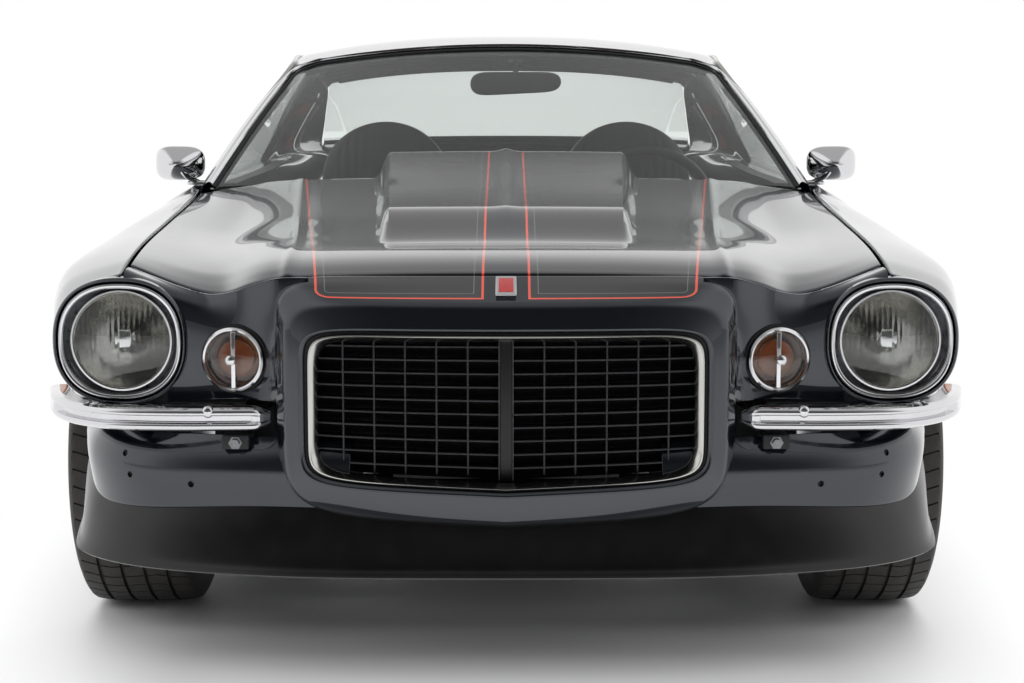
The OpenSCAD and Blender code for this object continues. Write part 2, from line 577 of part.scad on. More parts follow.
// Height of the seam between them, which climbs to the bumper's outer end.
dam_top = 368;
valance_top = 505;
function seam_z(u) = dam_top + 92 * smooth(3.6, 5.9, u);
valance_us = spread(1.72, 6, 12);
module front_valance() color(paint) both_sides() shell(bar_rings(
    [for (u = valance_us) plan(u)],
    [for (u = valance_us) let (z = seam_z(u), h = valance_top - z)
        [[-14, z + 0.8], [-2, z + 0.45 * h], [-10, z + 0.75 * h], [-34, valance_top]]]), 6);
dam_us = spread(0, 6, 14);
module air_dam() color(black) {
    half = bar_rings(
        [for (u = dam_us) plan(u)],
        [for (u = dam_us) let (z = seam_z(u), lift = smooth(4.2, 6, u), low = 268 + 44 * lift)
            [[26 - 24 * lift, low], [14 - 12 * lift, low + 22], [0, mix(low, z, 0.67)], [-13, z]]]);
    g = concat([for (i = [len(half) - 1:-1:1]) [for (p = half[i]) flip(p)]], half);
    shell(g, 6);
}

// A side profile in y and z, drawn across the car over width w.
module across_car(w) rotate([90, 0, 90]) linear_extrude(w, center = true) children();

floor_half = out(740);
trunk_half = out(590);
floor_z = 250;
trunk_z = wheel_r + 159;
toe_y = fa + 470;
tunnel_half = 120;
tunnel_out = tunnel_half + 15;
shaft_z = wheel_r - 26;
tunnel_top = shaft_z + 105;
module tunnel_space() translate([-tunnel_half, toe_y - 60, 150])
    cube([2 * tunnel_half, door_r + 120 - toe_y, tunnel_top - 165]);
// Side view of the toe board, the floor and the kick-up under the rear seat.
module floor_profile() polygon([[toe_y, 520], [fa + 560, floor_z], [door_r - 100, floor_z],
    [door_r + 40, trunk_z],
    [door_r + 40, trunk_z - 22], [door_r - 86, floor_z - 20], [fa + 548, floor_z - 20], [toe_y, 490]]);
module floor_pan() color(iron) both_sides() translate([tunnel_out + seam, 0, 0])
    rotate([90, 0, 90]) linear_extrude(floor_half - tunnel_out - seam) floor_profile();
module tunnel() color(iron) union() {
    difference() {
        translate([-tunnel_out, toe_y, floor_z - 20])
            cube([2 * tunnel_out, door_r + 30 - toe_y, tunnel_top - floor_z + 20]);
        tunnel_space();
    }
    intersection() {
        across_car(2 * tunnel_out) floor_profile();
        translate([-tunnel_out, toe_y, tunnel_top - 5]) cube([2 * tunnel_out, door_r + 100 - toe_y, 200]);
    }
}
beam_x = out(440);
module trunk_floor() color(iron) union() {
    translate([-trunk_half, door_r + 40 + seam, trunk_z - 20])
        cube([2 * trunk_half, tail_y - 127 - seam - door_r, 20]);
    translate([-300, tail_y - 100, trunk_z - 20]) cube([600, 100 - 69 - seam, 180]);
    both_sides() {
        translate([beam_x, door_r + 100, trunk_z - 60]) cube([60, tail_y - 110 - door_r - 100, 41]);
        translate([beam_x, tail_y - 140, trunk_z + 10]) cube([40, 140 - 42 - seam, 40]);
        translate([beam_x, tail_y - 140, trunk_z - 20]) cube([40, 40, 60]);
    }
}
sill_out = in(87);
module sills() color(paint) both_sides()
    translate([0, door_r + panel_gap - seam, 0]) rotate([90, 0, 0])
        linear_extrude(door_len + 2 * panel_gap - 2 * seam)
        polygon([[floor_half, 205], [sill_out - 10, 205], [sill_out, 215], [sill_out, 278],
            [sill_out - 10, 288], [floor_half, 288]]);

pillar_x = floor_half + 50;
cowl_half = floor_half + 5;
dash_half = out(690);
cowl_z = 815;
module cowl() color(paint) union() {
    difference() {
        translate([-cowl_half, toe_y - 15 - seam, 300]) cube([2 * cowl_half, 15, cowl_z - 290]);
        tunnel_space();
    }
    translate([-cowl_half, toe_y - 15 - seam, cowl_z]) cube([2 * cowl_half, door_f - 20 - toe_y + 15, 15]);
    translate([-dash_half, door_f - 30, cowl_z]) cube([2 * dash_half, 60, 15]);
    g = [for (w = spread(-1, 1, 12)) [for (k = [1, 0])
        let (p = shield(0, w * 0.995)) [p[0], p[1] + 2, mix(p[2] - glass_t - 0.5, cowl_z + 1, k)]]];
    between(g, shifted(g, [0, 14, 0]));
    both_sides() {
        translate([floor_half, door_f - 130, 210]) cube([pillar_x - floor_half, 110, cowl_z - 205]);
        translate([floor_half - 20, door_f - 130, cowl_z - 40]) cube([30, 110, 45]);
        for (z = hinge_zs) {
            for (dz = [-14 - seam, 40 + seam]) translate([0, 0, z + dz]) {
                translate([pillar_x - 5, hinge_y - 10, 0]) cube([hinge_x - pillar_x + 5, 20, 14]);
                translate([hinge_x, hinge_y, 0]) cylinder(r = hinge_pin_r + 6, h = 14);
            }
            translate([hinge_x, hinge_y, z - 8]) cylinder(r = hinge_pin_r, h = 56);
        }
        translate([hood_hinge[0] - 22, hood_hinge[1] - 12, cowl_z + 10])
            cube([22 - seam, 24, hood_hinge[2] - cowl_z]);
        translate([hood_hinge[0] - 10, hood_hinge[1], hood_hinge[2]]) rotate([0, 90, 0])
            cylinder(r = hinge_pin_r, h = 32);
    }
}

// Door glass from inside the belt to the roof rail.
function pane(u, t) =
    let (yb = mix(door_f + 95, door_r - 12, u), yt = mix(door_f + 560, quarter_front(1) - 14, u),
         a = on(crest_line, yb) - [30, 0, -0.9], b = on(rail_line, yt) + [11, 0, -20])
    mix(a, b, t) + 14 * sin(180 * t) * [0.8, 0, 0.5];
module door_glass() color(tint)
    sheet([for (u = spread(0, 1, 6)) [for (t = spread(0, 1, 6)) pane(u, t)]], [-glass_t, 0, 0]);
mirror_y = door_f + 105;
module mirror_body() color(chrome) union() {
    translate([in(118), mirror_y, 932]) scale([1, 0.62, 1]) rotate([90, 0, 0])
        cylinder(r1 = 58, r2 = 40, h = 70, center = true);
    translate([in(176), mirror_y - 16, on(crest_line, mirror_y)[2] + 0.7]) cube([46, 32, 36]);
}

dash_front = door_f + 60;
wheel_centre = [out(382), door_f + 465, 790];
column_r = 26;
module at_wheel() translate(wheel_centre) rotate([-68, 0, 0]) children();
module dashboard() color(trim) difference() {
    across_car(2 * dash_half) polygon([[door_f + 30 + seam, cowl_z + 14], [dash_front, 868],
        [dash_front + 160, 868], [dash_front + 215, 835],
        [dash_front + 190, 700], [dash_front + 120, 610], [dash_front + 60, 610], [dash_front + 20, 790],
            [door_f + 30 + seam, cowl_z - 10]]);
    at_wheel() translate([0, 0, -400]) cylinder(r = column_r + seam, h = 400);
}
module steering_wheel() color(trim) at_wheel() union() {
    rotate_extrude() translate([182, 0]) circle(r = 15, $fn = 16);
    translate([0, 0, -20]) cylinder(r = 55, h = 30);
    for (a = [0, 120, 240]) rotate([0, 0, a + 30]) translate([0, -14, -10]) cube([182, 28, 8]);
    translate([0, 0, -300]) cylinder(r = column_r, h = 300);
}
seat_x = out(371);
seat_w = 2 * (seat_x - tunnel_out - 11);
module seat_profile() offset(r = 30) offset(delta = -30)
    polygon([[-110, floor_z + seam], [-130, 400], [-110, 470], [250, 440], [330, 520], [395, 760],
        [440, 985], [500, 1010],
        [545, 990], [520, 850], [480, 600], [420, 360], [390, floor_z + seam]]);
module front_seats() color(trim) both_sides() translate([seat_x, door_f + 640, 0]) across_car(seat_w)
    seat_profile();
module rear_seat() color(trim) difference() {
    across_car(2 * trunk_half) polygon([[door_r - 170, floor_z + seam], [door_r - 190, trunk_z + 5],
        [door_r - 150, trunk_z + 45], [door_r + 130, trunk_z + 20],
        [door_r + 270, 865], [door_r + 312, 882], [door_r + 322, 800], [door_r + 215, trunk_z + seam],
        [door_r + 38, trunk_z + seam], [door_r - 104, floor_z + seam]]);
    translate([-tunnel_out - 1, door_r - 400, 0]) cube([2 * tunnel_out + 2, 500, tunnel_top + 1]);
}
module inner_mirror() color(trim) union() {
    top = dome(door_f + 446, 0, rail_w, 0)[2] - roof_wall - 0.95;
    stalk = below_roof(127);
    translate([-95, door_f + 330, below_roof(113) - 62]) cube([242, 24, 62]);
    translate([15, door_f + 340, stalk]) cube([20, 112, 12 * glass_house]);
    translate([15, door_f + 440, stalk]) cube([20, 12, top - stalk]);
}

module drivetrain() color(iron) union() {
    translate([-230, fa - 330, 330]) cube([460, 590, 420]);
    translate([-300, fa - 300, 560]) cube([600, 520, 130]);
    translate([-150, fa - 200, 750]) cube([300, 330, 60]);
    translate([-150, fa + 260, 280]) cube([300, 190, 260]);
    translate([-90, fa + 440, shaft_z - 60]) cube([180, 420, 130]);
    translate([0, fa + 850, shaft_z]) rotate([-90, 0, 0]) cylinder(r = 38, h = ra - 200 - fa - 850);
}
rail_x = 400;
// Heights of the wishbones' undersides.
arm_zs = [wheel_r - rim_d / 2 + 62, wheel_r + rim_d / 2 - 80];
arm_h = 16;
module front_subframe() color(iron) union() {
    both_sides() {
        translate([rail_x - 35, nose_y + 190, 300]) cube([70, 700, 90]);
        translate([rail_x - 35, nose_y + 880, 150]) cube([70, 760, 79.7]);
        translate([rail_x - 35, nose_y + 850, 150]) cube([70, 60, 240]);
        translate([rail_x + 20, nose_y + 190, 380]) cube([40, 60, 165]);
        translate([rail_x + 30, nose_y + 124.3, 524]) cube([40, 118, 28]);
        for (z = arm_zs) {
            translate([rail_x + 30, fa - 30, z]) cube([kingpin_x - rail_x - 30, 60, arm_h]);
            translate([kingpin_x, fa, z]) cylinder(r = 30, h = arm_h);
        }
        translate([rail_x - 35, fa - 60, arm_zs[0]]) cube([70, 120, arm_zs[1] - arm_zs[0] + arm_h]);
    }
    translate([-rail_x, fa - 70, arm_zs[0]]) cube([2 * rail_x, 140, 90]);
    translate([-rail_x, nose_y + 200, 310]) cube([2 * rail_x, 60, 70]);
    translate([-100, nose_y + 99.9, 370]) cube([200, 110, 22]);
    translate([-60, nose_y + 81.5, 345]) cube([120, 125, 20]);
}
spring_x = trunk_half - 55;
spring_z = wheel_r - 54;
module rear_axle() color(iron) union() {
    translate([-(rear_track / 2 - 40), ra, wheel_r]) rotate([0, 90, 0])
        cylinder(r = 40, h = rear_track - 80);
    translate([-(rear_track / 2 + 20), ra, wheel_r]) rotate([0, 90, 0])
        cylinder(r = spindle_r, h = rear_track + 40);
    translate([0, ra, wheel_r]) rotate([0, 90, 0]) rotate_extrude()
        polygon([[0, -160], [70, -150], [125, -60], [125, 60], [70, 150], [0, 160]]);
    translate([0, ra - 200 + seam, shaft_z]) rotate([-90, 0, 0]) cylinder(r = 50, h = 190);
    both_sides() {
        translate([spring_x, ra - 620, spring_z]) cube([60, 1250, 22]);
        translate([spring_x + 10, ra - 50, spring_z]) cube([40, 100, 100]);
        for (y = [ra - 640, ra + 610])
            translate([spring_x, y, spring_z]) cube([60, 40, trunk_z - 20 - spring_z - seam]);
    }
}
tank_half = beam_x - 40;
module fuel_tank() color(iron) translate([-tank_half, ra + 330, 245])
    cube([2 * tank_half, 480, trunk_z - 20 - 245 - seam]);
module exhaust() color(iron) both_sides() {
    translate([260, fa + 300, 165]) rotate([-90, 0, 0]) cylinder(r = 28, h = ra - 420 - fa - 300);
    translate([190, door_f + 600, 155]) cube([150, 480, 74.7]);
}

hub_bore = spindle_r + run;
module knuckle() color(iron) union() {
    translate([kingpin_x, fa, arm_zs[0] + arm_h + seam])
        cylinder(r = 24, h = arm_zs[1] - arm_zs[0] - arm_h - 2 * seam);
    translate([kingpin_x - 20, fa, wheel_r]) rotate([0, 90, 0])
        cylinder(r = spindle_r, h = front_track / 2 - kingpin_x + 40);
    translate([kingpin_x - 15, fa, wheel_r]) rotate([0, 90, 0]) cylinder(r = 70, h = 30);
}
// Wheel on its side: z runs outboard from the wheel's middle plane.
spokes = 5;
module wheel_form() color([0.45, 0.45, 0.47]) union() {
    rotate_extrude($fn = 72) polygon([[rim_d / 2 - 22, -rim_w / 2], [rim_d / 2 + 8, -rim_w / 2],
        [rim_d / 2 + 8, -rim_w / 2 + 8],
        [rim_d / 2 - 4, -rim_w / 2 + 16], [rim_d / 2 - 16, 0], [rim_d / 2 - 4, rim_w / 2 - 16],
            [rim_d / 2 + 8, rim_w / 2 - 8],
        [rim_d / 2 + 8, rim_w / 2], [rim_d / 2 - 14, rim_w / 2], [rim_d / 2 - 30, 0],
            [rim_d / 2 - 22, -rim_w / 2 + 16]]);
    difference() {
        union() {
            translate([0, 0, 20]) cylinder(r = 78, h = 50);
            for (i = [0:spokes - 1]) rotate([0, 0, i * 360 / spokes]) translate([50, -32, 34])
                cube([rim_d / 2 - 72, 64, 34]);
        }
        translate([0, 0, 10]) cylinder(r = hub_bore, h = 50);
    }
}
module tyre_form() color(black) rotate_extrude($fn = 72) difference() {
    polygon([[rim_d / 2 + 8 + seam, -rim_w / 2 + 4], [rim_d / 2 + 40, -tyre_w / 2],
        [wheel_r - 40, -tyre_w / 2 + 2], [wheel_r - 8, -tyre_w / 2 + 14],
        [wheel_r, -tyre_w / 2 + 32], [wheel_r, tyre_w / 2 - 32], [wheel_r - 8, tyre_w / 2 - 14],
            [wheel_r - 40, tyre_w / 2 - 2],
        [rim_d / 2 + 40, tyre_w / 2], [rim_d / 2 + 8 + seam, rim_w / 2 - 4]]);
    for (i = [-1.5:1:1.5]) translate([wheel_r - 7, i * tyre_w * 0.19 - 4]) square([10, 8]);
}
module wheel_at(x, y) translate([x, y, wheel_r]) rotate([0, 90, 0]) children();

floor_pan();
tunnel();
trunk_floor();
sills();
cowl();
roof_rails();
windshield();
roof();
rear_window();
quarter();  // quarter_left
mirror([1, 0, 0]) quarter();  // quarter_right
rear_deck();
tail_panel();
rear_bumper();
tail_lamps();
fender();  // fender_left
mirror([1, 0, 0]) fender();  // fender_right
header_panels();
nose();
grille();
front_valance();
air_dam();
front_bumpers();
headlamps();
headlamp_lenses();
parking_lamps();
dashboard();
steering_wheel();
front_seats();
rear_seat();
inner_mirror();
drivetrain();
front_subframe();
rear_axle();
fuel_tank();
exhaust();
hood();
trunk_lid();
door();  // door_left
mirror([1, 0, 0]) door();  // door_right
door_glass();  // door_glass_left
mirror([1, 0, 0]) door_glass();  // door_glass_right
mirror_body();  // mirror_left
mirror([1, 0, 0]) mirror_body();  // mirror_right
knuckle();  // knuckle_left
mirror([1, 0, 0]) knuckle();  // knuckle_right
wheel_at(front_track / 2, fa) wheel_form();  // wheel_front_left
mirror([1, 0, 0]) wheel_at(front_track / 2, fa)  // wheel_front_right
    wheel_form();
wheel_at(rear_track / 2, ra) wheel_form();  // wheel_rear_left
mirror([1, 0, 0]) wheel_at(rear_track / 2, ra)  // wheel_rear_right
    wheel_form();
wheel_at(front_track / 2, fa) tyre_form();  // tyre_front_left
mirror([1, 0, 0]) wheel_at(front_track / 2, fa)  // tyre_front_right
    tyre_form();
wheel_at(rear_track / 2, ra) tyre_form();  // tyre_rear_left
mirror([1, 0, 0]) wheel_at(rear_track / 2, ra) tyre_form();  // tyre_rear_right
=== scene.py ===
"""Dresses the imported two-door muscle car: paint, glass, chrome, lamps, tyres and cabin over the CAD frame.

Sizes are in millimetres in the CAD's frame: the front faces -Y, +X is the driver's side, the ground is Z = 0.
"""
import math

import bpy
import bmesh
import numpy as np
from mathutils import Matrix, Vector


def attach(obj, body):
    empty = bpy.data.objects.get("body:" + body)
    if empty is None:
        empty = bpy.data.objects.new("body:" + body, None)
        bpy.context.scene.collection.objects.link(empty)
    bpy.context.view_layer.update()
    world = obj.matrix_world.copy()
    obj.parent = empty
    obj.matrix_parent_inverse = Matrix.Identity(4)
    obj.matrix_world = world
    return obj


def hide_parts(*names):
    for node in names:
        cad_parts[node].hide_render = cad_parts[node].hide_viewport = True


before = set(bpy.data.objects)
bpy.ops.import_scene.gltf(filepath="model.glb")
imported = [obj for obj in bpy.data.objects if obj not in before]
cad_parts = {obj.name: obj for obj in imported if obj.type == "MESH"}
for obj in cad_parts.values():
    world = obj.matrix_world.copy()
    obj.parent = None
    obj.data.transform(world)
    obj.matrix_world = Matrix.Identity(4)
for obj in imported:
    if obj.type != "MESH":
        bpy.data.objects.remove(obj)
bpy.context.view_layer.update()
scene = bpy.context.scene
MM = 0.001

# Driving sizes, as in the part's source
HALF_W = 945
NOSE_Y = -2387.5
TAIL_Y = 2387.5
FRONT_AXLE = -1442.5
REAR_AXLE = 1300.5
DOOR_F = -802.5
DOOR_R = 597.5
COWL_Y = -887.5
ROOF_H = 1283
WHEEL_R = 326
ARCH_R = 372
ARCH_ENDS = (-14, 194)
GAP = 8
LAMP_X, LAMP_Z = 685, 669
PARK_X, PARK_Z = 480, 640
HINGE_X, HINGE_Y = 867, -854.5
HINGE_BORE = 8.5
LID_FRONT = REAR_AXLE - 10
LID_REAR = TAIL_Y - 75
PANEL_WALL = 18
GLASS_WALL = 5
# Driver's side wheels. Columns: corner, x, y.
WHEELS = (("front_left", 778.5, FRONT_AXLE), ("rear_left", 762.5, REAR_AXLE))


# Materials

def linear(code):
    """Linear colour of an sRGB hex value."""
    rgb = [int(code[i:i + 2], 16) / 255 for i in (1, 3, 5)]
    return [c / 12.92 if c <= 0.04045 else ((c + 0.055) / 1.055) ** 2.4 for c in rgb] + [1]


def add(tree, kind, inputs=None, **settings):
    """Adds a node with its settings; an input that is a socket is linked, any other is a value."""
    made = tree.nodes.new("ShaderNode" + kind)
    for name, value in settings.items():
        setattr(made, name, value)
    for name, value in (inputs or {}).items():
        if isinstance(value, bpy.types.NodeSocket):
            tree.links.new(value, made.inputs[name])
        else:
            made.inputs[name].default_value = value
    return made


def maths(tree, op, a, b=0.0, c=0.0):
    """Result of one Math node."""
    return add(tree, "Math", {0: a, 1: b, 2: c}, operation=op).outputs["Value"]


def eased(tree, value, start, end, low=0.0, high=1.0):
    """Runs smoothly from low to high while value goes from start to end."""
    inputs = {"Value": value, "From Min": start, "From Max": end, "To Min": low, "To Max": high}
    return add(tree, "MapRange", inputs, interpolation_type="SMOOTHSTEP").outputs["Result"]


def finish(name, code, roughness, **sockets):
    """A material with one principled shader; sockets are its other inputs, with _ for each space."""
    mat = bpy.data.materials.new(name)
    mat.use_nodes = True
    shader = mat.node_tree.nodes["Principled BSDF"]
    shader.inputs["Base Color"].default_value = linear(code)
    shader.inputs["Roughness"].default_value = roughness
    for key, value in sockets.items():
        shader.inputs[key.replace("_", " ")].default_value = value
    return mat


def textured(mat, mm, low=None, high=None, bump=0.0, rough=None, stretch=(1, 1, 1), kind="TexNoise",
             detail=4.0):
    """Gives a material a pattern of that size in mm: two colours, a bump depth in mm, a roughness range."""
    tree = mat.node_tree
    shader = tree.nodes["Principled BSDF"]
    place = add(tree, "TexCoord").outputs["Object"]
    place = add(tree, "Mapping",
                {"Vector": place, "Scale": [1000 / mm * s for s in stretch]}).outputs["Vector"]
    if kind == "TexNoise":
        value = add(tree, kind, {"Vector": place, "Scale": 1.0, "Detail": detail}).outputs["Fac"]
    else:
        value = add(tree, kind, {"Vector": place, "Scale": 1.0}).outputs[0]
    if low:
        ramp = add(tree, "ValToRGB", {"Fac": value})
        ramp.color_ramp.elements[0].color = linear(low)
        ramp.color_ramp.elements[1].color = linear(high)
        ramp.color_ramp.elements[0].position = 0.3
        ramp.color_ramp.elements[1].position = 0.7
        tree.links.new(ramp.outputs["Color"], shader.inputs["Base Color"])
    if rough:
        span = add(tree, "MapRange", {"Value": value, "To Min": rough[0], "To Max": rough[1]})
        tree.links.new(span.outputs["Result"], shader.inputs["Roughness"])
    if bump:
        raised = add(tree, "Bump", {"Height": value, "Strength": 1.0, "Distance": bump * MM})
        tree.links.new(raised.outputs["Normal"], shader.inputs["Normal"])
    return mat


# Sprayed metallic enamel under polished clear coat: near black, blue where it turns to the light
FLAKE = 0.85
paint = finish("sprayed_metallic_enamel", "#20242c", 0.22, Metallic=FLAKE, Coat_Weight=1.0,
               Coat_Roughness=0.02, Coat_IOR=1.62)
textured(paint, 1.2, "#1b1f26", "#262a33", detail=2.0)
# The same paint with the hood's two black panels, each edged by a red line and a thin grey one inside it
striped = paint.copy()
striped.name = "sprayed_enamel_with_stripes"
# Panel edges: inner x, outer x at STRIPE_Y and how it spreads to the rear, lowest z, corner radius,
# length along the nose's slope for each mm of height
STRIPE_IN, STRIPE_OUT, STRIPE_Y, STRIPE_SPLAY = 38.0, 329, -2330, 0.1143
STRIPE_LOW, STRIPE_ROUND, STRIPE_SLOPE = 757, 26.0, 2.13
# Lines inside a panel's edge: from and to, in mm
RED_LINE, GREY_LINE = (0.0, 4.2), (16.5, 18.2)


def stripe_mask():
    """Blends the panels into the striped paint by the distance in mm from each panel's edge."""
    tree = striped.node_tree
    shader = tree.nodes["Principled BSDF"]
    at = add(tree, "SeparateXYZ", {"Vector": add(tree, "TexCoord").outputs["Object"]}).outputs
    x = maths(tree, "MULTIPLY", maths(tree, "ABSOLUTE", at["X"]), 1 / MM)
    outer = maths(tree, "MULTIPLY_ADD", at["Y"], STRIPE_SPLAY / MM, STRIPE_OUT - STRIPE_SPLAY * STRIPE_Y)
    from_side = maths(tree, "SUBTRACT", outer, x)
    from_end = maths(tree, "MULTIPLY", maths(tree, "SUBTRACT", at["Z"], STRIPE_LOW * MM), STRIPE_SLOPE / MM)
    corner = 0.0
    for away in (from_side, from_end):
        short = maths(tree, "MAXIMUM", maths(tree, "SUBTRACT", STRIPE_ROUND, away), 0.0)
        corner = maths(tree, "MULTIPLY_ADD", short, short, corner)
    round_edge = maths(tree, "SUBTRACT", STRIPE_ROUND, maths(tree, "SQRT", corner))
    inside = maths(tree, "MINIMUM", round_edge, maths(tree, "SUBTRACT", x, STRIPE_IN))
    panel = maths(tree, "GREATER_THAN", inside, 0.0)
    red, grey = (maths(tree, "MULTIPLY", maths(tree, "GREATER_THAN", inside, start),
                       maths(tree, "LESS_THAN", inside, end)) for start, end in (RED_LINE, GREY_LINE))
    colour = shader.inputs["Base Color"].links[0].from_socket
    for mask, code in ((panel, "#0a0a0b"), (red, "#b8361f"), (grey, "#47494c")):
        layer = add(tree, "Mix", {0: mask}, data_type="RGBA")
        tree.links.new(colour, layer.inputs[6])
        layer.inputs[7].default_value = linear(code)
        colour = layer.outputs[2]
    tree.links.new(colour, shader.inputs["Base Color"])
    tree.links.new(maths(tree, "MULTIPLY_ADD", panel, -FLAKE, FLAKE), shader.inputs["Metallic"])


stripe_mask()
# Bright plating on pressed steel: mirror with the faintest orange peel
chrome = finish("electroplated_chrome", "#dcdcde", 0.06, Metallic=1.0)
textured(chrome, 25.0, rough=(0.04, 0.09), detail=2.0)
# Rolled stainless mouldings: softer than plating, brushed along their length
stainless = finish("rolled_stainless_steel", "#c9c8c4", 0.16, Metallic=1.0)
textured(stainless, 3.0, rough=(0.12, 0.22), stretch=(1, 0.1, 1))
# Float glass with a faint green from its iron
glass = finish("tinted_float_glass", "#f7fbf9", 0.0, Transmission_Weight=1.0, IOR=1.5)
# Pressed clear lens glass
lens_glass = finish("pressed_lens_glass", "#f4f6f5", 0.03, Transmission_Weight=1.0, IOR=1.5)
# Vapour-coated reflector
reflector = finish("vapour_coated_aluminium", "#b9b7b1", 0.16, Metallic=1.0)
textured(reflector, 9.0, "#a9a7a2", "#c6c4be", rough=(0.12, 0.24))
# Moulded acrylic lenses
amber = finish("moulded_amber_acrylic", "#e0803a", 0.1, Transmission_Weight=0.6, IOR=1.49)
textured(amber, 6.0, "#d8742c", "#e88f4c")
red_lens = finish("moulded_red_acrylic", "#a10f10", 0.12, Transmission_Weight=0.35, IOR=1.49)
# Moulded black ABS with a fine grain
black_plastic = finish("moulded_black_abs", "#0d0d0e", 0.45)
textured(black_plastic, 1.5, bump=0.05, rough=(0.38, 0.52))
# Injection-moulded grille bars: satin black
grille_black = finish("satin_black_moulding", "#040405", 0.35)
textured(grille_black, 3.0, rough=(0.3, 0.42))
# Satin grey strips on the grille bars' front edges: a painted highlight where those edges catch the light
grille_highlight_strip = finish("painted_highlight_bar_edge", "#35373b", 0.35, Metallic=0.4)
textured(grille_highlight_strip, 8.0, "#26282b", "#43454a", rough=(0.28, 0.45))
# Finned radiator core, black and dull, with rows of fine fins
radiator = finish("black_dipped_radiator_core", "#050506", 0.8)
textured(radiator, 3.0, "#010101", "#040405", bump=0.5, stretch=(1, 1, 0.05))
# Pressed lamp pan: bright metal that has dulled to grey
pan_metal = finish("dulled_pressed_pan", "#8b8c8e", 0.28, Metallic=1.0)
textured(pan_metal, 12.0, "#7d7e80", "#96979a", rough=(0.22, 0.36))
# Satin moulded dam, rubbed a little grey
dam_plastic = finish("satin_moulded_dam", "#060607", 0.22)
textured(dam_plastic, 40.0, "#050506", "#09090a", rough=(0.16, 0.3))
# Extruded rubber seals
rubber_seal = finish("extruded_black_rubber", "#101011", 0.65)
textured(rubber_seal, 2.0, bump=0.04, rough=(0.55, 0.75))
# Grained seat vinyl
vinyl = finish("grained_black_vinyl", "#141416", 0.5, Sheen_Weight=0.15)
textured(vinyl, 1.6, "#101012", "#1a1a1d", bump=0.12, rough=(0.42, 0.6), kind="TexVoronoi")
# Padded dashboard skin
dash_skin = finish("moulded_dash_vinyl", "#121214", 0.6)
textured(dash_skin, 1.8, bump=0.1, rough=(0.5, 0.7), kind="TexVoronoi")
# Loop-pile carpet
carpet = finish("loop_pile_carpet", "#131315", 0.95, Sheen_Weight=0.4)
textured(carpet, 3.0, "#0d0d0f", "#1c1c1f", bump=0.6, kind="TexVoronoi")
# Woven headliner
headliner = finish("woven_headliner", "#2b2b2c", 0.9)
textured(headliner, 2.0, "#252526", "#323233", bump=0.1)
# Printed ivory marks on the gauges
ivory = finish("printed_ivory_ink", "#d9d4c4", 0.6)
textured(ivory, 4.0, "#d2ccbb", "#e0dbcc")
# Sewn visor vinyl, brown-black and dull
visor_vinyl = finish("sewn_visor_vinyl", "#1b1816", 0.65)
textured(visor_vinyl, 1.5, "#171412", "#211d1a", bump=0.08)
# Vulcanised tyre rubber, dusty in the grooves
rubber = finish("vulcanised_tyre_rubber", "#2a2827", 0.62)
textured(rubber, 18.0, "#242221", "#33302e", rough=(0.52, 0.72), bump=0.08)
# Cast and painted alloy, then the lathe-turned rim with its fine rings
alloy = finish("cast_painted_alloy", "#6d6f73", 0.35, Metallic=0.8, Coat_Weight=0.4)
textured(alloy, 2.0, "#63656a", "#777a7f")
machined = finish("machined_aluminium", "#c4c5c8", 0.2, Metallic=1.0)
textured(machined, 1.5, rough=(0.14, 0.28), stretch=(0.05, 1, 1))
# Brushed-on chassis black over pressed steel
chassis_black = finish("chassis_black_paint", "#17181a", 0.6)
textured(chassis_black, 60.0, "#131415", "#222325", rough=(0.5, 0.75), bump=0.3)
# Sand-cast iron
iron = finish("sand_cast_iron", "#3b3b3d", 0.7, Metallic=0.6)
textured(iron, 4.0, "#303032", "#47474a", bump=0.4)
# Turned bare steel
steel = finish("turned_bare_steel", "#8c8d90", 0.3, Metallic=1.0)
textured(steel, 5.0, "#7d7e81", "#9b9c9f", rough=(0.25, 0.42))
# Fired enamel in a plain frame
red_enamel = finish("fired_red_enamel", "#8f1a1c", 0.2, Coat_Weight=1.0)
textured(red_enamel, 5.0, "#861719", "#991e20")
# Silvered glass: a clean mirror
mirror_silver = finish("silvered_mirror_glass", "#e8ecec", 0.02, Metallic=1.0)


# Curves and surfaces

def on(table, y):
    """Points of a feature line (rows of y, x, z) at the distances y along the car."""
    t = np.asarray(table, float)
    y = np.asarray(y, float)
    row = np.arange(len(t))
    before, after = np.maximum(row - 1, 0), np.minimum(row + 1, len(t) - 1)
    slope = (t[after, 1:] - t[before, 1:]) / (t[after, :1] - t[before, :1])
    i = np.clip(np.searchsorted(t[:, 0], y, "right") - 1, 0, len(t) - 2)
    h = (t[i + 1, 0] - t[i, 0])[..., None]
    s = np.clip((y[..., None] - t[i, :1]) / h, 0, 1)
    v = ((2 * s**3 - 3 * s**2 + 1) * t[i, 1:] + (s**3 - 2 * s**2 + s) * h * slope[i]
         + (3 * s**2 - 2 * s**3) * t[i + 1, 1:] + (s**3 - s**2) * h * slope[i + 1])
    return np.stack([v[..., 0], y, v[..., 1]], -1)


def curve(points, s):
    """Point at s on a smooth curve through points, where s counts the points."""
    i = min(int(s), len(points) - 2)
    f = s - i
    a, b, c, d = (np.asarray(points[k], float)
                  for k in (max(i - 1, 0), i, i + 1, min(i + 2, len(points) - 1)))
    return b + f * (c - a) / 2 + f**2 * (2 * a - 5 * b + 4 * c - d) / 2 + f**3 * (3 * b - a - 3 * c + d) / 2


def smooth(a, b, x):
    """Eases from 0 to 1 while x goes from a to b."""
    t = np.clip((x - a) / (b - a), 0, 1)
    return t * t * (3 - 2 * t)


def mix(a, b, t):
    """Share t of the way from a to b."""
    return a + (b - a) * t


def spread(a, b, n):
    """Ends of n even steps from a to b."""
    return np.linspace(a, b, n + 1)


def circle(n):
    """Angles of n points round a circle."""
    return spread(0, 2 * math.pi, n)[:-1]


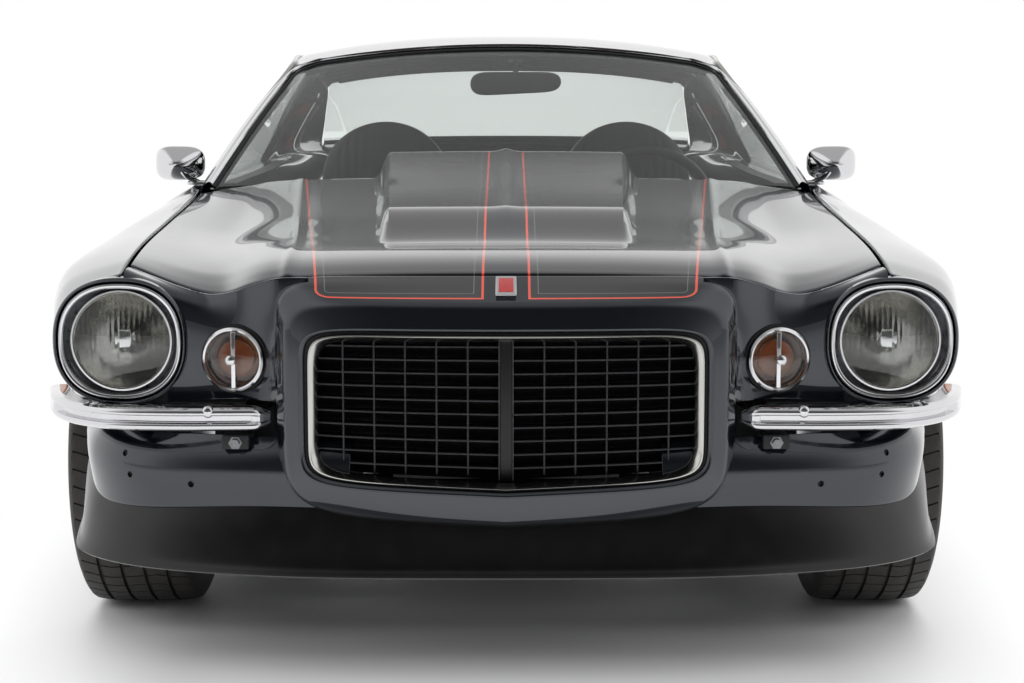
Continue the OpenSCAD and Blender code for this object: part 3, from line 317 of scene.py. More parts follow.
def squared(v, e):
    """Sine or cosine drawn toward a rounded square; e is 1 for a circle and less for squarer."""
    return np.sign(v) * np.abs(v) ** e


def unit(v):
    """Vectors brought to length 1."""
    return v / np.linalg.norm(v, axis=-1, keepdims=True)


def rounded(points, r, steps=4):
    """The polyline with its inner corners rounded by r and a point on each side that keeps flats flat."""
    p = [np.asarray(q, float) for q in points]
    out = [p[0]]
    for before, corner, after in zip(p, p[1:], p[2:]):
        a, b = before - corner, after - corner
        la = np.linalg.norm(a, axis=-1, keepdims=True)
        lb = np.linalg.norm(b, axis=-1, keepdims=True)
        reach = np.minimum(r, 0.4 * np.minimum(la, lb))
        start, end = corner + a / la * reach, corner + b / lb * reach
        out.append(corner + a / la * reach * 1.2)
        for t in spread(0, 1, steps):
            out.append((1 - t) ** 2 * start + 2 * t * (1 - t) * corner + t * t * end)
        out.append(corner + b / lb * reach * 1.2)
    return out + [p[-1]]


# Meshes

def piece(name, points, faces, mat):
    """A mesh object from points in millimetres, with its faces turned outward."""
    mesh = bpy.data.meshes.new(name)
    mesh.from_pydata((np.asarray(points, float).reshape(-1, 3) * MM).tolist(), [], faces)
    mesh.materials.append(mat)
    shape = bmesh.new()
    shape.from_mesh(mesh)
    bmesh.ops.recalc_face_normals(shape, faces=shape.faces)
    shape.to_mesh(mesh)
    shape.free()
    obj = bpy.data.objects.new(name, mesh)
    scene.collection.objects.link(obj)
    return obj


def settle(obj, angle=35):
    """Applies the modifiers and keeps only sharp edges crisp."""
    depsgraph = bpy.context.evaluated_depsgraph_get()
    mesh = bpy.data.meshes.new_from_object(obj.evaluated_get(depsgraph))
    obj.modifiers.clear()
    obj.data = mesh
    mesh.shade_smooth()
    mesh.set_sharp_from_angle(angle=math.radians(angle))
    return obj


def bevelled(obj, width, segments=3, angle=50):
    """Rounds the edges sharper than an angle in degrees."""
    bevel = obj.modifiers.new("edge", "BEVEL")
    bevel.width = width * MM
    bevel.segments = segments
    bevel.limit_method = "ANGLE"
    bevel.angle_limit = math.radians(angle)
    return obj


def cut(obj, *tools):
    """Takes closed tools away from a closed piece."""
    for tool in tools:
        boolean = obj.modifiers.new("cut", "BOOLEAN")
        boolean.object = tool
        boolean.operation = "DIFFERENCE"
        boolean.solver = "EXACT"
    settle(obj)
    for tool in tools:
        bpy.data.objects.remove(tool)
    return obj


def grid_faces(m, n, wrap=False):
    """Quads of a grid of m rows of n points; with wrap each row closes on itself."""
    i, j = np.meshgrid(np.arange(m - 1), np.arange(n if wrap else n - 1), indexing="ij")
    a, b = i * n + j, i * n + (j + 1) % n
    return np.stack([a, a + n, b + n, b], -1).reshape(-1, 4).tolist()


def normals(g):
    """Unit normals of a grid of points."""
    return unit(np.cross(np.gradient(g, axis=0), np.gradient(g, axis=1)))


def slab(name, outer, inner, mat, edge=2.0):
    """Closed panel between an outer grid and an inner one; a number for inner is a wall thickness."""
    if np.isscalar(inner):
        inner = outer - inner * normals(outer)
    m, n = outer.shape[:2]
    k = np.arange(m * n).reshape(m, n)
    rim = np.concatenate([k[:, 0], k[-1, 1:], k[-2::-1, -1], k[0, -2:0:-1]])
    nxt = np.roll(rim, -1)
    faces = grid_faces(m, n) + (np.array(grid_faces(m, n))[:, ::-1] + m * n).tolist()
    faces += np.stack([rim, nxt, nxt + m * n, rim + m * n], -1).tolist()
    obj = piece(name, np.concatenate([outer.reshape(-1, 3), inner.reshape(-1, 3)]), faces, mat)
    if edge:
        bevelled(obj, edge)
    return settle(obj)


def loft(name, rings, mat, caps=True, edge=0.0, angle=35):
    """Skin through closed rings of points, with flat ends."""
    g = np.asarray(rings, float)
    m, n = g.shape[:2]
    faces = grid_faces(m, n, wrap=True)
    if caps:
        faces += [list(range(n)), list(range((m - 1) * n, m * n))]
    obj = piece(name, g, faces, mat)
    if edge:
        bevelled(obj, edge)
    return settle(obj, angle)


def lathe(name, profile, centre, axis, mat, steps=64, angle=35):
    """Revolves a profile of (radius, distance along axis) about an axis through centre."""
    turn = circle(steps)
    w = np.asarray(axis, float)
    u = unit(np.cross(w, [0, 0, 1] if abs(w[2]) < 0.9 else [1, 0, 0]))
    v = np.cross(w, u)
    ring = np.cos(turn)[:, None] * u + np.sin(turn)[:, None] * v
    rows = [np.asarray(centre, float) + ring * max(r, 0.05) + w * h for r, h in profile]
    closed = profile[0] == profile[-1]
    return loft(name, rows, mat, caps=not closed, angle=angle)


def tube(name, path, radius, mat, sides=10):
    """Round bar along a path."""
    p = np.asarray(path, float)
    step = unit(np.gradient(p, axis=0))
    across = np.cross(step, [0, 0, 1.0])
    bad = np.linalg.norm(across, axis=1) < 0.05
    across[bad] = np.cross(step[bad], [0, 1.0, 0])
    across = unit(across)
    rise = np.cross(across, step)
    turn = circle(sides)[:, None]
    rings = [q + radius * (np.cos(turn) * a + np.sin(turn) * b) for q, a, b in zip(p, across, rise)]
    return loft(name, rings, mat, angle=60)


def block(name, low, high, mat, edge=2.0):
    """Box with rounded edges between two corners."""
    (x0, y0, z0), (x1, y1, z1) = low, high
    rings = [[(x0, y0, z), (x1, y0, z), (x1, y1, z), (x0, y1, z)] for z in (z0, z1)]
    return loft(name, rings, mat, edge=edge)


def barrel(at, axis, radius, length):
    """Hinge eye round its pin."""
    rows = [(HINGE_BORE, 0), (radius, 0), (radius, length), (HINGE_BORE, length), (HINGE_BORE, 0)]
    return lathe("barrel", rows, at, axis, paint, 32)


def joined(name, parts):
    """One object from several."""
    bpy.ops.object.select_all(action="DESELECT")
    for part in parts:
        part.select_set(True)
    bpy.context.view_layer.objects.active = parts[0]
    bpy.ops.object.join()
    parts[0].name = name
    return parts[0]


def twin(obj, name):
    """The same piece on the other side of the car."""
    copy = bpy.data.objects.new(name, obj.data.copy())
    scene.collection.objects.link(copy)
    copy.data.transform(Matrix.Scale(-1, 4, (1, 0, 0)))
    copy.data.flip_normals()
    return copy


def place(obj, body, slot, *nodes):
    """Puts a piece on its body and hides the CAD nodes that it stands for; slot is not used."""
    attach(obj, body)
    if nodes:
        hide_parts(*nodes)
    return obj


def pair(obj, body, slot, *nodes):
    """Places a driver's side piece and its twin; names that end in left give the other side's names."""
    other = twin(obj, obj.name.replace("left", "right") if "left" in obj.name else obj.name + "_right")
    if "left" not in obj.name:
        obj.name += "_left"
    place(obj, body, slot, *nodes)
    place(other, body.replace("left", "right"), slot, *[n.replace("left", "right") for n in nodes])
    return obj, other


def both(obj, slot, *nodes, body="body"):
    """Joins a driver's side piece and its mirror image into one piece."""
    name = obj.name
    return place(joined(name, [obj, twin(obj, name + "_other")]), body, slot, *nodes)


# Feature lines of the body side, driver's half. Columns: y, x, z.
SILL = [
    [NOSE_Y + 172, LAMP_X + 15, LAMP_Z - 112], [NOSE_Y + 305, HALF_W - 182, 514],
    [FRONT_AXLE - 408, HALF_W - 100, 505], [FRONT_AXLE, HALF_W - 65, 360],
    [FRONT_AXLE + 380, HALF_W - 83, 215],
    [DOOR_F, HALF_W - 87, 208], [0, HALF_W - 95, 205], [DOOR_R, HALF_W - 87, 208],
    [REAR_AXLE - 380, HALF_W - 77, 215], [REAR_AXLE, HALF_W - 55, 300], [REAR_AXLE + 390, HALF_W - 65, 330],
    [TAIL_Y - 390, HALF_W - 95, 360], [TAIL_Y - 57, HALF_W - 155, 430]]
LOW = [
    [NOSE_Y + 172, LAMP_X + 82, LAMP_Z - 84], [NOSE_Y + 305, HALF_W - 142, 575],
    [FRONT_AXLE - 408, HALF_W - 67, 560], [FRONT_AXLE, HALF_W - 33, 480],
    [FRONT_AXLE + 380, HALF_W - 50, 340],
    [DOOR_F, HALF_W - 55, 330], [0, HALF_W - 61, 322], [DOOR_R, HALF_W - 53, 330],
    [REAR_AXLE - 380, HALF_W - 37, 345], [REAR_AXLE, HALF_W - 15, 440], [REAR_AXLE + 390, HALF_W - 27, 450],
    [TAIL_Y - 390, HALF_W - 55, 470], [TAIL_Y - 57, HALF_W - 120, 520]]
WAIST = [
    [NOSE_Y + 172, LAMP_X + 118, LAMP_Z], [NOSE_Y + 305, HALF_W - 107, 665],
    [FRONT_AXLE - 408, HALF_W - 55, 640], [FRONT_AXLE, HALF_W - 20, 600],
    [FRONT_AXLE + 380, HALF_W - 30, 560],
    [DOOR_F, HALF_W - 33, 560], [0, HALF_W - 37, 580], [DOOR_R, HALF_W - 25, 600],
    [REAR_AXLE - 380, HALF_W - 10, 620], [REAR_AXLE, HALF_W, 630], [REAR_AXLE + 390, HALF_W - 13, 650],
    [TAIL_Y - 390, HALF_W - 43, 660], [TAIL_Y - 57, HALF_W - 100, 650]]
SHOULDER = [
    [NOSE_Y + 172, LAMP_X + 84, LAMP_Z + 84], [NOSE_Y + 305, HALF_W - 133, 762],
    [FRONT_AXLE - 408, HALF_W - 87, 770], [FRONT_AXLE, HALF_W - 57, 775],
    [FRONT_AXLE + 380, HALF_W - 57, 790],
    [DOOR_F, HALF_W - 60, 795], [0, HALF_W - 65, 808], [DOOR_R, HALF_W - 55, 822],
    [REAR_AXLE - 380, HALF_W - 47, 838], [REAR_AXLE, HALF_W - 50, 850], [REAR_AXLE + 390, HALF_W - 77, 845],
    [TAIL_Y - 390, HALF_W - 107, 830], [TAIL_Y - 57, HALF_W - 155, 790]]
CREST = [
    [NOSE_Y + 172, LAMP_X, LAMP_Z + 118], [NOSE_Y + 305, HALF_W - 251, 806],
    [FRONT_AXLE - 408, HALF_W - 233, 820], [FRONT_AXLE, HALF_W - 207, 836],
    [FRONT_AXLE + 380, HALF_W - 197, 862],
    [COWL_Y, HALF_W - 187, 877], [DOOR_F, HALF_W - 163, 884], [0, HALF_W - 153, 893],
    [DOOR_R, HALF_W - 145, 908], [REAR_AXLE - 380, HALF_W - 145, 925], [REAR_AXLE, HALF_W - 165, 932],
    [REAR_AXLE + 390, HALF_W - 200, 928], [TAIL_Y - 390, HALF_W - 230, 910], [TAIL_Y - 57, HALF_W - 277, 862]]
# Roof rail, then the side of the rear window, then the edge of the trunk opening
RAIL = [
    [DOOR_F + 470, 588, ROOF_H - 95], [0, 604, ROOF_H - 61], [DOOR_R - 250, 596, ROOF_H - 67],
    [DOOR_R + 12, 578, ROOF_H - 105], [DOOR_R + 300, 612, ROOF_H - 201],
    [REAR_AXLE - 90, 655, 962], [REAR_AXLE - 10, 652, 946], [REAR_AXLE + 390, 640, 938],
    [TAIL_Y - 390, 618, 920], [TAIL_Y - 57, 585, 868]]
# Middle of the roof, then of the rear window
ROOF = [
    [DOOR_F + 410, 0, ROOF_H - 43], [0, 0, ROOF_H - 4], [DOOR_R - 350, 0, ROOF_H - 3],
    [DOOR_R + 12, 0, ROOF_H - 60], [DOOR_R + 300, 0, ROOF_H - 172], [REAR_AXLE - 90, 0, 978]]
DECK = [
    [REAR_AXLE - 90, 0, 978], [REAR_AXLE - 10, 0, 962], [REAR_AXLE + 390, 0, 954], [TAIL_Y - 390, 0, 938],
    [TAIL_Y - 57, 0, 884]]
# Hood lines from the middle to the valley beside the fender
HOOD_MID = [
    [NOSE_Y + 105, 0, 795], [NOSE_Y + 150, 0, 808], [NOSE_Y + 215, 0, 819], [NOSE_Y + 300, 0, 826],
    [FRONT_AXLE - 458, 0, 833],
    [FRONT_AXLE - 58, 0, 859], [COWL_Y, 0, 922]]
HOOD_RIDGE = [
    [NOSE_Y + 125, 385, 786], [NOSE_Y + 170, 388, 798], [NOSE_Y + 235, 392, 809], [NOSE_Y + 320, 397, 817],
    [FRONT_AXLE - 458, 408, 826],
    [FRONT_AXLE - 58, 445, 848], [COWL_Y, 500, 911]]
HOOD_VALLEY = [
    [NOSE_Y + 195, 525, 753], [NOSE_Y + 240, 530, 763], [NOSE_Y + 320, 539, 777],
    [FRONT_AXLE - 458, 560, 793], [FRONT_AXLE - 58, 595, 817],
    [COWL_Y, 625, 896]]
# Crease along the hood's ridge: height and half width
RIDGE_RISE, RIDGE_SPAN = 4.5, 12


def side(y, s):
    """Body side at y: s runs 0 to 4 from the sill to the crest."""
    return curve([on(line, y) for line in (SILL, LOW, WAIST, SHOULDER, CREST)], s)


def side_grid(ys, low, high, n):
    """Grid of the body side at the places ys, between two shares of its height."""
    return np.stack([side(ys, s) for s in spread(low, high, n)], 1)


def side_x(ys, zs):
    """Body side's x at places along the car and their heights, and the height of the sill there."""
    rows = np.stack([side(ys, s) for s in spread(0, 3.6, 60)], 1)
    return np.array([np.interp(z, row[:, 2], row[:, 0]) for z, row in zip(zs, rows)]), rows[:, 0, 2]


def wheel_arch(y):
    """Closed cylinder of the space round a wheel."""
    return lathe("arch_space", [(ARCH_R, -1200), (ARCH_R, 1200)], (0, y, WHEEL_R), (1, 0, 0), paint,
                 steps=160)


def arch_lip(y, offset):
    """Path of the rolled lip along a wheel arch on the driver's side."""
    a = np.radians(spread(*ARCH_ENDS, 90))
    ys, zs = y + (ARCH_R + offset) * np.cos(a), WHEEL_R + (ARCH_R + offset) * np.sin(a)
    x, low = side_x(ys, zs)
    return np.stack([x - 3, ys, zs], -1)[zs > low]


def wheel_house(name, y, inner, wall):
    """Liner over a wheel, from an inner x to the skin, that closes the arch from inside."""
    layers = []
    for offset in (5, 9):
        path = arch_lip(y, offset)
        path = path[np.linspace(0, len(path) - 1, 60).round().astype(int)]
        rim = path - [wall, 0, 0]
        foot = rim * [0, 1, 1] + [inner, 0, 0]
        layers.append(np.stack([mix(foot, rim, k) for k in spread(0, 1, 6)], 1))
    return slab(name, layers[0], layers[1], chassis_black, 1)


# Fenders and quarters

FENDER_WALL, QUARTER_WALL = 10, 28
g = side_grid(spread(NOSE_Y + 172, DOOR_F - GAP, 90), 0, 4, 44)
fender = slab("fender_left_skin", g, FENDER_WALL, paint, 2.5)
cut(fender, wheel_arch(FRONT_AXLE))
pair(fender, "body", "paint", "fender_left")
pair(tube("fender_arch_lip_left", arch_lip(FRONT_AXLE, 2), 5, paint), "body", "paint")


# Share of the post's height where its front edge starts to lean, and how far it leans
POST_KNEE, POST_LEAN = 0.16, 265
POST_BULGE = 22
QUARTER_REAR = TAIL_Y - 57


def quarter_front(t):
    """Front edge of the roof post: t runs 0 to 1 from the crest to the rail."""
    return mix(DOOR_R + GAP, DOOR_R - POST_LEAN, np.maximum(t - POST_KNEE, 0) / (1 - POST_KNEE))


def post(y, t):
    """Roof post above the crest: t runs 0 to 1 to the rail."""
    bulge = POST_BULGE * math.sin(math.pi * t) * smooth(REAR_AXLE + 100, DOOR_R, y)
    return mix(on(CREST, y), on(RAIL, y), t) + bulge[:, None] * np.array([0.8, 0, 0.6])


def quarter_grid(n):
    """Rear quarter from the sill over the crest to the rail, in n steps along the car."""
    u = spread(0, 1, n)
    low = [side(mix(quarter_front(0), QUARTER_REAR, u), s) for s in spread(0, 4, 38)]
    high = [post(mix(quarter_front(t), QUARTER_REAR, u), t) for t in spread(0, 1, 18)[1:]]
    return np.stack(low + high, 1)


g = quarter_grid(110)
n = normals(g)
n[:, -1] = [0, 0, 1]
n[..., 1] = 0
quarter = slab("quarter_left_skin", g, g - QUARTER_WALL * unit(n), paint, 2.5)
cut(quarter, wheel_arch(REAR_AXLE))
pair(quarter, "body", "paint", "quarter_left")
pair(tube("quarter_arch_lip_left", arch_lip(REAR_AXLE, 2), 5, paint), "body", "paint")
both(wheel_house("front_wheel_house", FRONT_AXLE, 470, 5), "black_plastic")
HOUSE_X = 596
both(wheel_house("rear_wheel_house", REAR_AXLE, HOUSE_X, 12), "black_plastic")
# Inner walls of the rear wheel houses, open round the axle
a = np.radians(spread(*ARCH_ENDS, 60))[:, None]
far = spread(150, ARCH_R + 7, 8)
g = np.stack([HOUSE_X + 0 * a * far, REAR_AXLE + np.cos(a) * far, WHEEL_R + np.sin(a) * far], -1)
both(slab("rear_wheel_house_wall", g, g + [4, 0, 0], chassis_black, 1), "black_plastic")

# Doors: painted shell with a trimmed inner side, narrower toward the rear
DOOR_LOW = 0.86
DOOR_SHELL = 62
DOOR_WALL = 105
DOOR_TAPER = 9
HINGE_ROOM = 68.3
ys = spread(DOOR_F, DOOR_R, 72)
g = side_grid(ys, DOOR_LOW, 4, 40)
taper = DOOR_TAPER * (ys - DOOR_F) / (DOOR_R - DOOR_F)
inner = g - np.stack([np.full_like(ys, DOOR_SHELL), taper * DOOR_SHELL / DOOR_WALL, 0 * ys], -1)[:, None]
trim_face = g - np.stack([np.full_like(ys, DOOR_WALL - 2), taper, 0 * ys], -1)[:, None]
door = slab("door_left_skin", g, inner, paint, 2.5)
room = [(HINGE_ROOM, 0), (HINGE_ROOM, ROOF_H)]
cut(door, lathe("hinge_room", room, (HINGE_X, HINGE_Y, 0), (0, 0, 1), paint, steps=96))
pair(door, "door_left", "paint", "door_left")
door_trim = slab("door_left_trim", inner[3:-2, 2:], trim_face[3:-2, 2:], vinyl, 6)
pair(door_trim, "door_left", "trim_plastic")
# Hinge arms from the pins to a leaf inside the door's front edge
HINGE_TALL = 40
HINGE_FOOT = [(-8, 9), (-45, 50.5), (-57, 50.5), (-57, 106), (-25, 106), (-25, 58), (-32, 54), (-1, 13)]
leaves = []
for z in (450, 640):
    leaves.append(barrel((HINGE_X, HINGE_Y, z), (0, 0, 1), 13, HINGE_TALL))
    rings = [[(HINGE_X + dx, HINGE_Y + dy, h) for dx, dy in HINGE_FOOT] for h in (z, z + HINGE_TALL)]
    leaves.append(loft("arm", rings, paint, edge=1.5))
pair(joined("door_left_hinges", leaves), "door_left", "paint")


# Hood

# Rear edge of the hood at the middle, the ridge, the valley and the fender
HOOD_BACK = [COWL_Y - 90, COWL_Y - 65, COWL_Y - 50, COWL_Y - 40]
# Scoop: height, where its front slope starts and ends, half widths and flank widths from front to rear
SCOOP_H = 62
SCOOP_FOOT = FRONT_AXLE - 590
SCOOP_TOP = FRONT_AXLE - 350
SCOOP_HALF = (236, 278)
SCOOP_FLANK = (18, 40)
CREASE_H, CREASE_HALF = 7, 26


def scoop(x, y):
    """Rise of the scoop that opens to the windshield, with a low crease along its middle."""
    half = mix(*SCOOP_HALF, (y - SCOOP_TOP) / (HOOD_BACK[0] - SCOOP_TOP))
    flank = mix(*SCOOP_FLANK, smooth(SCOOP_FOOT, COWL_Y, y))
    rise = mix(0.75, 1, smooth(SCOOP_TOP, COWL_Y, y)) * smooth(SCOOP_FOOT, SCOOP_TOP, y)
    body = SCOOP_H * rise * (1 - smooth(half, half + flank, np.abs(x)))
    crease = CREASE_H * (1 - smooth(0, CREASE_HALF, np.abs(x)))
    return body + crease * smooth(SCOOP_FOOT + 100, SCOOP_TOP + 250, y)


def hood_at(u, s):
    """Hood: s runs 0 to 3 from the driver's fender to the middle, u 0 to 1 from front to back."""
    m, r, v = (on(line, mix(line[0][0], back, u))
               for line, back in zip((HOOD_MID, HOOD_RIDGE, HOOD_VALLEY), HOOD_BACK))
    e = on(CREST, mix(NOSE_Y + 255, HOOD_BACK[3], u)) - [GAP, 0, 3]
    flip = np.array([-1, 1, 1])
    p = curve([e, v, r, m, r * flip, v * flip, e * flip], s)
    p[:, 2] += scoop(p[:, 0], p[:, 1])
    from_ridge = np.abs(p[:, 0]) - on(HOOD_RIDGE, p[:, 1])[:, 0]
    p[:, 2] += RIDGE_RISE * np.exp(-(from_ridge / RIDGE_SPAN) ** 2)
    return p


steps = np.concatenate([spread(0, 1.9, 40)[:-1], spread(1.9, 2.6, 36)[:-1], spread(2.6, 3, 12)])
steps = np.concatenate([steps, 6 - steps[-2::-1]])
g = np.stack([hood_at(spread(0, 1, 110), s) for s in steps])
hood = slab("hood_skin", g, g - [0, 0, PANEL_WALL], striped, 2.5)
place(hood, "hood", "paint", "hood")
# Hinge eye, arm and toe under the hood's rear corner
ARM_X, ARM_W = 640, 20
eye = barrel((ARM_X, COWL_Y - 22, 868), (1, 0, 0), 13, ARM_W)
arm = block("arm", (ARM_X, COWL_Y - 127, 859), (ARM_X + ARM_W, COWL_Y - 32, 871), paint, 2)
toe = block("toe", (ARM_X, COWL_Y - 127, 866), (ARM_X + ARM_W, COWL_Y - 87, 876), paint, 2)
both(joined("hood_hinges", [eye, arm, toe]), "paint", body="hood")


# Trunk lid and roof

CROWN = 2.4


def dome(y, w, dx, middle):
    """Crowned sheet between the rails: w runs -1 to 1 across, dx is the room left at each edge."""
    y, w = np.broadcast_arrays(y, w)
    e, m = on(RAIL, y), on(middle, y)
    return np.stack([(e[..., 0] - dx) * w, y, mix(m[..., 2], e[..., 2], np.abs(w) ** CROWN)], -1)


across = spread(-1, 1, 50)[:, None]
g = dome(spread(LID_FRONT + GAP, LID_REAR, 50), across, GAP, DECK)
lid = slab("trunk_lid_skin", g, g - [0, 0, PANEL_WALL], paint, 2.5)
place(lid, "trunk_lid", "paint", "trunk_lid")

# Turned-down rear edge of the lid, over the tail panel
LIP_FOOT = 838
e = g[:, -1] - [0, 3, 3]
foot = e * [1, 1, 0] + [0, 0, LIP_FOOT]
lip = np.stack([mix(e, foot, k) + [0, 3 * math.sin(math.pi * k), 0] for k in spread(0, 1, 8)], 1)
place(slab("trunk_lid_lip", lip, lip - [0, 14, 0], paint, 1.5), "trunk_lid", "paint")
# Gooseneck hinges of the lid, on lugs of the rear deck
NECK = np.array([500, LID_FRONT - 150, 885.0])
NECK_R, NECK_HALF, NECK_W = 178, 8, 20
NECK_LOW, NECK_HIGH = np.radians((-61, 15))


def swung(angle, far):
    """Points beside the hinge's pin, at an angle and a distance from it."""
    return NECK + np.stack([0 * far, far * np.cos(angle), far * np.sin(angle)], -1)


# Each edge of the neck runs straight out from the pin, then round it to the lid
edges = []
for half in (-NECK_HALF, NECK_HALF):
    straight = swung(NECK_LOW, spread(16, NECK_R, 7))
    straight -= half * np.array([0, math.sin(NECK_LOW), -math.cos(NECK_LOW)])
    bend = swung(spread(NECK_LOW, NECK_HIGH, 30)[1:], np.full(30, NECK_R + half))
    edges.append(np.concatenate([straight, bend]))
rings = [[p, q, q + [NECK_W, 0, 0], p + [NECK_W, 0, 0]] for p, q in zip(*edges)]
neck = loft("neck", rings, paint, edge=1.5)
both(joined("trunk_lid_hinges", [neck, barrel(NECK, (1, 0, 0), 15, NECK_W)]), "paint", body="trunk_lid")
lug = block("lug", NECK - [24, 14, 15], NECK + [-1, 14, 15], paint, 2)
pin = lathe("pin", [(0, -10), (7, -10), (7, 22), (0, 22)], NECK, (1, 0, 0), steel, 24)
both(joined("trunk_lid_lugs", [lug, pin]), "paint")

# Windshield's lower and upper corners (x, y, z) and middles (y, z), and its bow forward and up
SHIELD_LOW, SHIELD_HIGH = (732, DOOR_F - 58, 882), (566, DOOR_F + 470, ROOF_H - 93)
SHIELD_LOW_MID, SHIELD_HIGH_MID = (DOOR_F - 150, 906), (DOOR_F + 410, ROOF_H - 46)
SHIELD_BOW = np.array([0, -7, 10])


def shield(t, w):
    """Windshield: t runs 0 to 1 from the cowl to the roof, w -1 to 1 across."""
    t, w = np.broadcast_arrays(np.asarray(t, float), np.asarray(w, float))
    low = [SHIELD_LOW[0] * w] + [mix(SHIELD_LOW_MID[k], SHIELD_LOW[k + 1], w * w) for k in (0, 1)]
    high = [SHIELD_HIGH[0] * w] + [mix(SHIELD_HIGH_MID[k], SHIELD_HIGH[k + 1], w * w) for k in (0, 1)]
    flat = np.stack([mix(a, b, t) for a, b in zip(low, high)], -1)
    return flat + np.sin(math.pi * t)[..., None] * SHIELD_BOW


def roof_front(w):
    """Front edge of the roof, above the windshield."""
    return mix(SHIELD_HIGH_MID[0], SHIELD_HIGH[1], w * w)


ROOF_REAR = DOOR_R + 12
ROOF_WALL = 30
w = spread(-1, 1, 64)[:, None]
g = dome(mix(roof_front(w), ROOF_REAR, spread(0, 1, 50)), w, 0, ROOF)
g[..., 2] -= 14 * smooth(0.975, 1.0, np.abs(w))
place(slab("roof_skin", g, g - [0, 0, ROOF_WALL], paint, 3), "body", "paint", "roof")

# Windows
w = spread(-1, 1, 60)[:, None]
g = shield(spread(0, 1, 30), w)
place(slab("windshield_glass", g, g - [0, 0, GLASS_WALL], glass, 0), "body", "window_glass", "windshield")
g = dome(mix(ROOF_REAR + 0.8, REAR_AXLE - 90.8, spread(0, 1, 30)), w, 7, ROOF)
place(slab("rear_window_glass", g, g - [0, 0, GLASS_WALL], glass, 0), "body", "window_glass", "rear_window")


def pane(u, t):
    """Door glass: u runs 0 to 1 along the car, t 0 to 1 from the belt to the rail."""
    a = on(CREST, mix(DOOR_F + 95, DOOR_R - 12, u)) - [30, 0, -0.9]
    b = on(RAIL, mix(DOOR_F + 560, float(quarter_front(1)) - 14, u)) + [11, 0, -20]
    return mix(a, b, t) + 14 * math.sin(math.pi * t) * np.array([0.8, 0, 0.5])


g = np.stack([pane(spread(0, 1, 40), t) for t in spread(0, 1, 24)], 1)
glazing = slab("door_glass_left_pane", g, g - [GLASS_WALL, 0, 0], glass, 0)
pair(glazing, "door_left", "window_glass", "door_glass_left")

# Bright moulding and gasket round the windshield, with rounded upper corners, then bars along the roof rail
CORNER_T, CORNER_W = 0.11, 0.125


def shield_edge():
    """Places round the glass from one lower corner to the other, with their directions outward and up."""
    a = spread(0, math.pi / 2, 16)
    t = np.concatenate([spread(0.0, 1 - CORNER_T, 40)[:-1], 1 - CORNER_T + CORNER_T * np.sin(a),
                        np.full(30, 1.0)])
    w = np.concatenate([np.full(40, 1.0), 1 - CORNER_W + CORNER_W * np.cos(a),
                        spread(1 - CORNER_W, 0, 30)[1:]])
    t, w = np.concatenate([t, t[-2::-1]]), np.concatenate([w, -w[-2::-1]])
    p = shield(t, w)
    along = unit(np.gradient(p, axis=0))
    over = shield(t, np.clip(w + 0.01, -1, 1)) - shield(t, w - 0.01)
    up = unit(np.cross(over, shield(t + 0.01, w) - shield(t - 0.01, w)))
    up[up[:, 2] < 0] *= -1
    return p, np.cross(along, up), up, smooth(0.72, 0.98, t)


def framed(name, section, narrow, mat):
    """Bar round the windshield from rows of outward and upward distances; narrow scales it along the top."""
    q = np.array(section, float)
    rings = [p + out * (q[:, :1] * mix(1, narrow, top)) + up * q[:, 1:] * mix(1, 0.7, top)
             for p, out, up, top in zip(*shield_edge())]
    return loft(name, rings, mat, angle=30)


FRAME_MOULDING = [[-9, 2], [-8, 12], [-4, 16.5], [2, 16], [12, 11], [24, 2.5], [33, -6.5], [38, -16],
                  [34, -18], [-9, -9]]
FRAME_GASKET = [[-16, 0.6], [-15, 3], [-11, 4], [-8, 3.5], [-8, -6], [-16, -6]]
place(framed("windshield_moulding", FRAME_MOULDING, 0.22, chrome), "body", "chrome_plate")
place(framed("windshield_gasket", FRAME_GASKET, 0.9, rubber_seal), "body", "black_plastic")
rail = [shield(t, 1) + [27, 14, -8] for t in (0.04, 0.15, 0.35, 0.55, 0.75, 0.9)]
rail += [on(RAIL, y) for y in (DOOR_F + 540, DOOR_F + 700, 0, 170, float(quarter_front(1)) - 0.8)]
path = np.array([curve(rail, k) for k in spread(0, 10, 120)])
along = unit(np.gradient(path, axis=0))
down = unit(np.cross(along, [1.0, 0, 0]))
inward = np.cross(along, down)


def railed(name, section, mat):
    """Bar along the roof rail; section rows are inward and downward distances from its outer upper edge."""
    q = np.array(section, float)
    return loft(name, [p + s * q[:, :1] + d * q[:, 1:] for p, s, d in zip(path, inward, down)], mat, angle=30)


RAIL_BAR = [[2, 0], [33, 0], [35, 2], [35, 20], [33, 22], [2, 22], [0, 20], [0, 2]]
DRIP = [[-3, -1], [-2, -4], [3, -5.5], [9, -4], [10, -1], [3, 1], [1, 8], [-2, 8]]
SEAL = [[-2, 9], [8, 9], [9, 22], [4, 26], [-2, 22]]
both(railed("roof_rail_skin", RAIL_BAR, paint), "paint", "roof_rails")
both(railed("drip_moulding", DRIP, stainless), "chrome_plate")
both(railed("door_glass_seal", SEAL, rubber_seal), "black_plastic")

